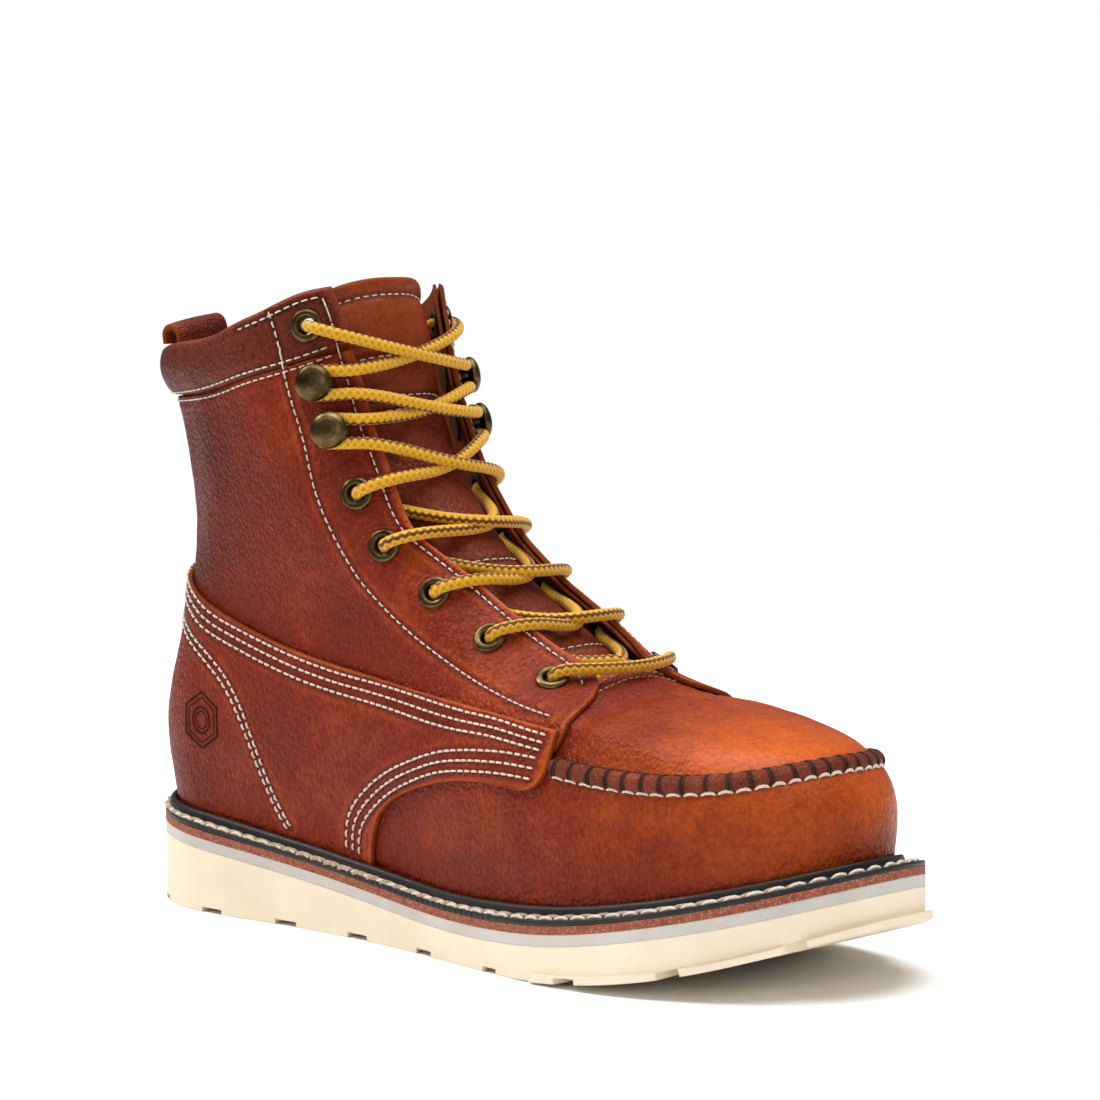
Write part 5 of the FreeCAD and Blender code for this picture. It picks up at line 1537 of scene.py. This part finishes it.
# The welt's section, as (share of the way, rise over its top) pairs.
RIB_SECTION = [(0.0, -0.05), (0.0, 2.2), (0.05, 2.9), (0.16, 3.3), (0.32, 3.48), (0.5, 3.5),
               (0.68, 3.3), (0.84, 2.8), (0.95, 2.1), (1.0, 1.2)]
TOP_SECTION = [(0.03, 0.5), (0.08, 0.22), (0.14, 0.1), (0.24, 0.0), (0.30, -0.12), (0.36, 0.0),
               (0.5, 0.04), (0.62, 0.02), (0.68, -0.14), (0.74, 0.0), (0.88, 0.02), (0.94, -0.04),
               (0.985, -0.25)]
RIDGED_SECTION = [(1.0, -0.6), (1.0, -1.2)]
LOW_SECTION = [(0.995, -1.62), (0.985, -WELT + 0.03)]


def looped(points):
    """A smooth closed line through points, spaced evenly by its own length."""
    p = np.array(points, float)
    n = len(p)
    p = np.concatenate([p, p, p, p[:1]])
    run = np.concatenate([[0], np.cumsum(np.linalg.norm(np.diff(p, axis=0), axis=1) ** 0.5)])
    fine = np.linspace(run[n], run[2 * n], 4000)
    line = np.stack([Spline(run, p[:, k])(fine) for k in (0, 1)], 1)
    length = run_along(line)
    return read_line(np.linspace(0, length[-1], LOOP_POINTS, endpoint=False), length, line)[0]


def foot_loop(offset, lifted=True):
    """The foot's plan at the welt, moved outward by offset, as the CAD solids have it."""
    s = 3.0 * np.arange(FOOT_STEPS + 1) / FOOT_STEPS
    s = np.concatenate([s, -s[1:-1][::-1]])
    s[0] = 1e-9
    z = np.full(s.shape, 30.0)
    for _ in range(8):
        z = RIB_TOP(upper_point(s, z)[..., 0])
    here = upper_point(s, z)
    ahead = upper_point(np.where(s >= 2.99, -2.99, np.minimum(s + 0.01, 2.99)), z)
    behind = upper_point(np.where(s > -2.99, s - 0.01, -2.99), z)
    tangent = unit((ahead - behind)[:, :2])
    normal = np.stack([tangent[:, 1], -tangent[:, 0]], 1)
    middle = np.clip(here[:, 0], 40, 250)
    facing = normal[:, 0] * (here[:, 0] - middle) + normal[:, 1] * here[:, 1]
    normal = np.where(facing[:, None] < 0, -normal, normal)
    lift = ON_TOP * (1 - blend(here[:, 0], 118, 134)) * lifted
    return here[:, :2] + normal * (offset + lift)[:, None]


def paired(inner, outer):
    """For every point of the outer loop, where the ray from the sole's centre meets the inner."""
    def polar(p):
        d = p - SOLE_CENTRE
        return np.arctan2(d[:, 1], d[:, 0]), np.linalg.norm(d, axis=1)
    angle, reach = polar(inner)
    order = np.argsort(angle)
    angle, reach = angle[order], reach[order]
    a = polar(outer)[0]
    r = np.interp(a, np.concatenate([angle - 2 * np.pi, angle, angle + 2 * np.pi]), np.tile(reach, 3))
    return SOLE_CENTRE + np.stack([np.cos(a), np.sin(a)], 1) * r[:, None]


def make_welt():
    edge = looped(SOLE_OUTLINE)
    rib_in, rib_out, deep = [paired(looped(foot_loop(*reach)), edge)
                             for reach in ((RIB_FROM,), (RIB_TO,), (WELT_INSIDE, False))]
    waist = blend(edge[:, 0], 112, 124) * (1 - blend(edge[:, 0], 188, 200)) * (edge[:, 1] < 0)
    wave = np.clip(np.cos(2 * np.pi * run_along(edge) / RIDGE_PITCH), -0.3, 1.0)
    ridge = RIDGE_DEPTH * wave * waist - 0.05

    def between(inner, outer, k):
        return inner * (1 - k) + outer * k

    def risen(xy, rise):
        return np.concatenate([xy, (welt_top(xy[:, 0]) + rise)[:, None]], 1)
    profile = [risen(deep, -WELT + 0.05), risen(deep, 0.0)]
    profile += [risen(between(rib_in, rib_out, k), h) for k, h in RIB_SECTION]
    profile += [risen(between(rib_out, edge, k), h) for k, h in TOP_SECTION]
    ridged = edge + unit(edge - SOLE_CENTRE) * ridge[:, None]
    profile += [risen(between(rib_out, ridged, k), h) for k, h in RIDGED_SECTION]
    profile += [risen(between(rib_out, edge, k), h) for k, h in LOW_SECTION]
    grid = np.stack(profile, 1)
    grid[..., 2] += 0.05 * unevenness(grid, 4.0, 2.0)
    faces = grid_faces(*grid.shape[:2], (True, True), reverse=True)
    welt = new_object("stitched_welt", home(grid.reshape(-1, 3)), faces, ["welt"])
    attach(welt, "boot")
    stand_for(welt, "black_welt", "storm_welt")

    def row(k):
        line = risen(between(rib_out, edge, k), 0.0)
        line = np.concatenate([line, line[:1]])
        return Row(line, np.tile([0.0, 0.0, 1.0], (len(line), 1)))
    stitches("welt_row_inner", [row(0.27)], "tan_thread", pitch=7.0, radius=0.85, fill=1.08,
             slant=0.75, bow=-0.3, sink=0.4)
    stitches("welt_row_outer", [row(0.68)], "white", pitch=6.6, radius=0.74, fill=0.9, bow=0.5,
             sink=0.5)


make_welt()


# ---- the CAD solids that stay, with their own materials --------------------------------
KEPT = {"outsole": "cream", "midsole_pale": "pale", "midsole_brown": "brown", "cork_filler": "cork",
        "steel_shank": "steel", "insole_board": "board", "footbed": "sock",
        "heel_counter_lateral": "board", "heel_counter_medial": "board",
        "steel_toe_cap": "cap", "toe_lining": "knit"}


def dress_kept():
    for obj in bpy.data.objects:
        for node, key in KEPT.items():
            if obj.type == "MESH" and (obj.name == node or obj.name.startswith(node + ".")
                                       or obj.get("node") == node):
                for slot in obj.material_slots:
                    slot.material = M[key]


dress_kept()


# ---- light, floor ----------------------------------------------------------------------
FLOOR_R, FLOOR_SIDES = 1.6, 96
ROOM_LIGHT = 0.22
LIGHT_AIM = (0.0, 0.0, 0.09)
LIGHTS = [      # name, power, size, place, colour
    ("key", 30.0, (0.8, 0.8), (-1.35, -0.95, 1.9), (1.0, 0.98, 0.95)),
    ("top", 122.0, (3.0, 3.0), (0.2, 0.2, 3.0), (1.0, 1.0, 1.0)),
    ("fill", 3.0, (1.0, 0.8), (1.5, -0.9, 0.8), (0.97, 0.98, 1.0)),
]


def make_world():
    """White to the camera, and a soft even light to everything else."""
    world = bpy.data.worlds.new("studio")
    world.use_nodes = True
    tree = world.node_tree
    lit, seen = tree.nodes["Background"], tree.nodes.new("ShaderNodeBackground")
    for back, strength in ((lit, ROOM_LIGHT), (seen, 1.0)):
        back.inputs["Color"].default_value = (1.0, 1.0, 1.0, 1.0)
        back.inputs["Strength"].default_value = strength
    path = tree.nodes.new("ShaderNodeLightPath")
    either = tree.nodes.new("ShaderNodeMixShader")
    tree.links.new(path.outputs["Is Camera Ray"], either.inputs[0])
    tree.links.new(lit.outputs[0], either.inputs[1])
    tree.links.new(seen.outputs[0], either.inputs[2])
    tree.links.new(either.outputs[0], tree.nodes["World Output"].inputs["Surface"])
    bpy.context.scene.world = world


def make_floor():
    turn = np.arange(FLOOR_SIDES) * 2 * np.pi / FLOOR_SIDES
    rim = [(FLOOR_R * math.cos(t), FLOOR_R * math.sin(t), 0) for t in turn]
    mesh = bpy.data.meshes.new("floor")
    mesh.from_pydata(rim, [], [tuple(range(FLOOR_SIDES))])
    paper = Graph("pale_floor", Specular_IOR_Level=0.1)
    tint = paper.mix(paper.noise(3.0, 2.0), (0.93, 0.93, 0.93), (0.97, 0.97, 0.97))
    mesh.materials.append(paper.finish(tint, 0.9))
    place_object("floor", mesh)


def make_light(name, power, size, place, colour):
    data = bpy.data.lights.new(name, "AREA")
    data.energy, data.shape, data.color = power, "RECTANGLE", colour
    data.size, data.size_y = size
    look_from(place_object(name, data), place, LIGHT_AIM)


make_world()
make_floor()
for light in LIGHTS:
    make_light(*light)
bpy.context.scene.view_settings.view_transform = "Standard"
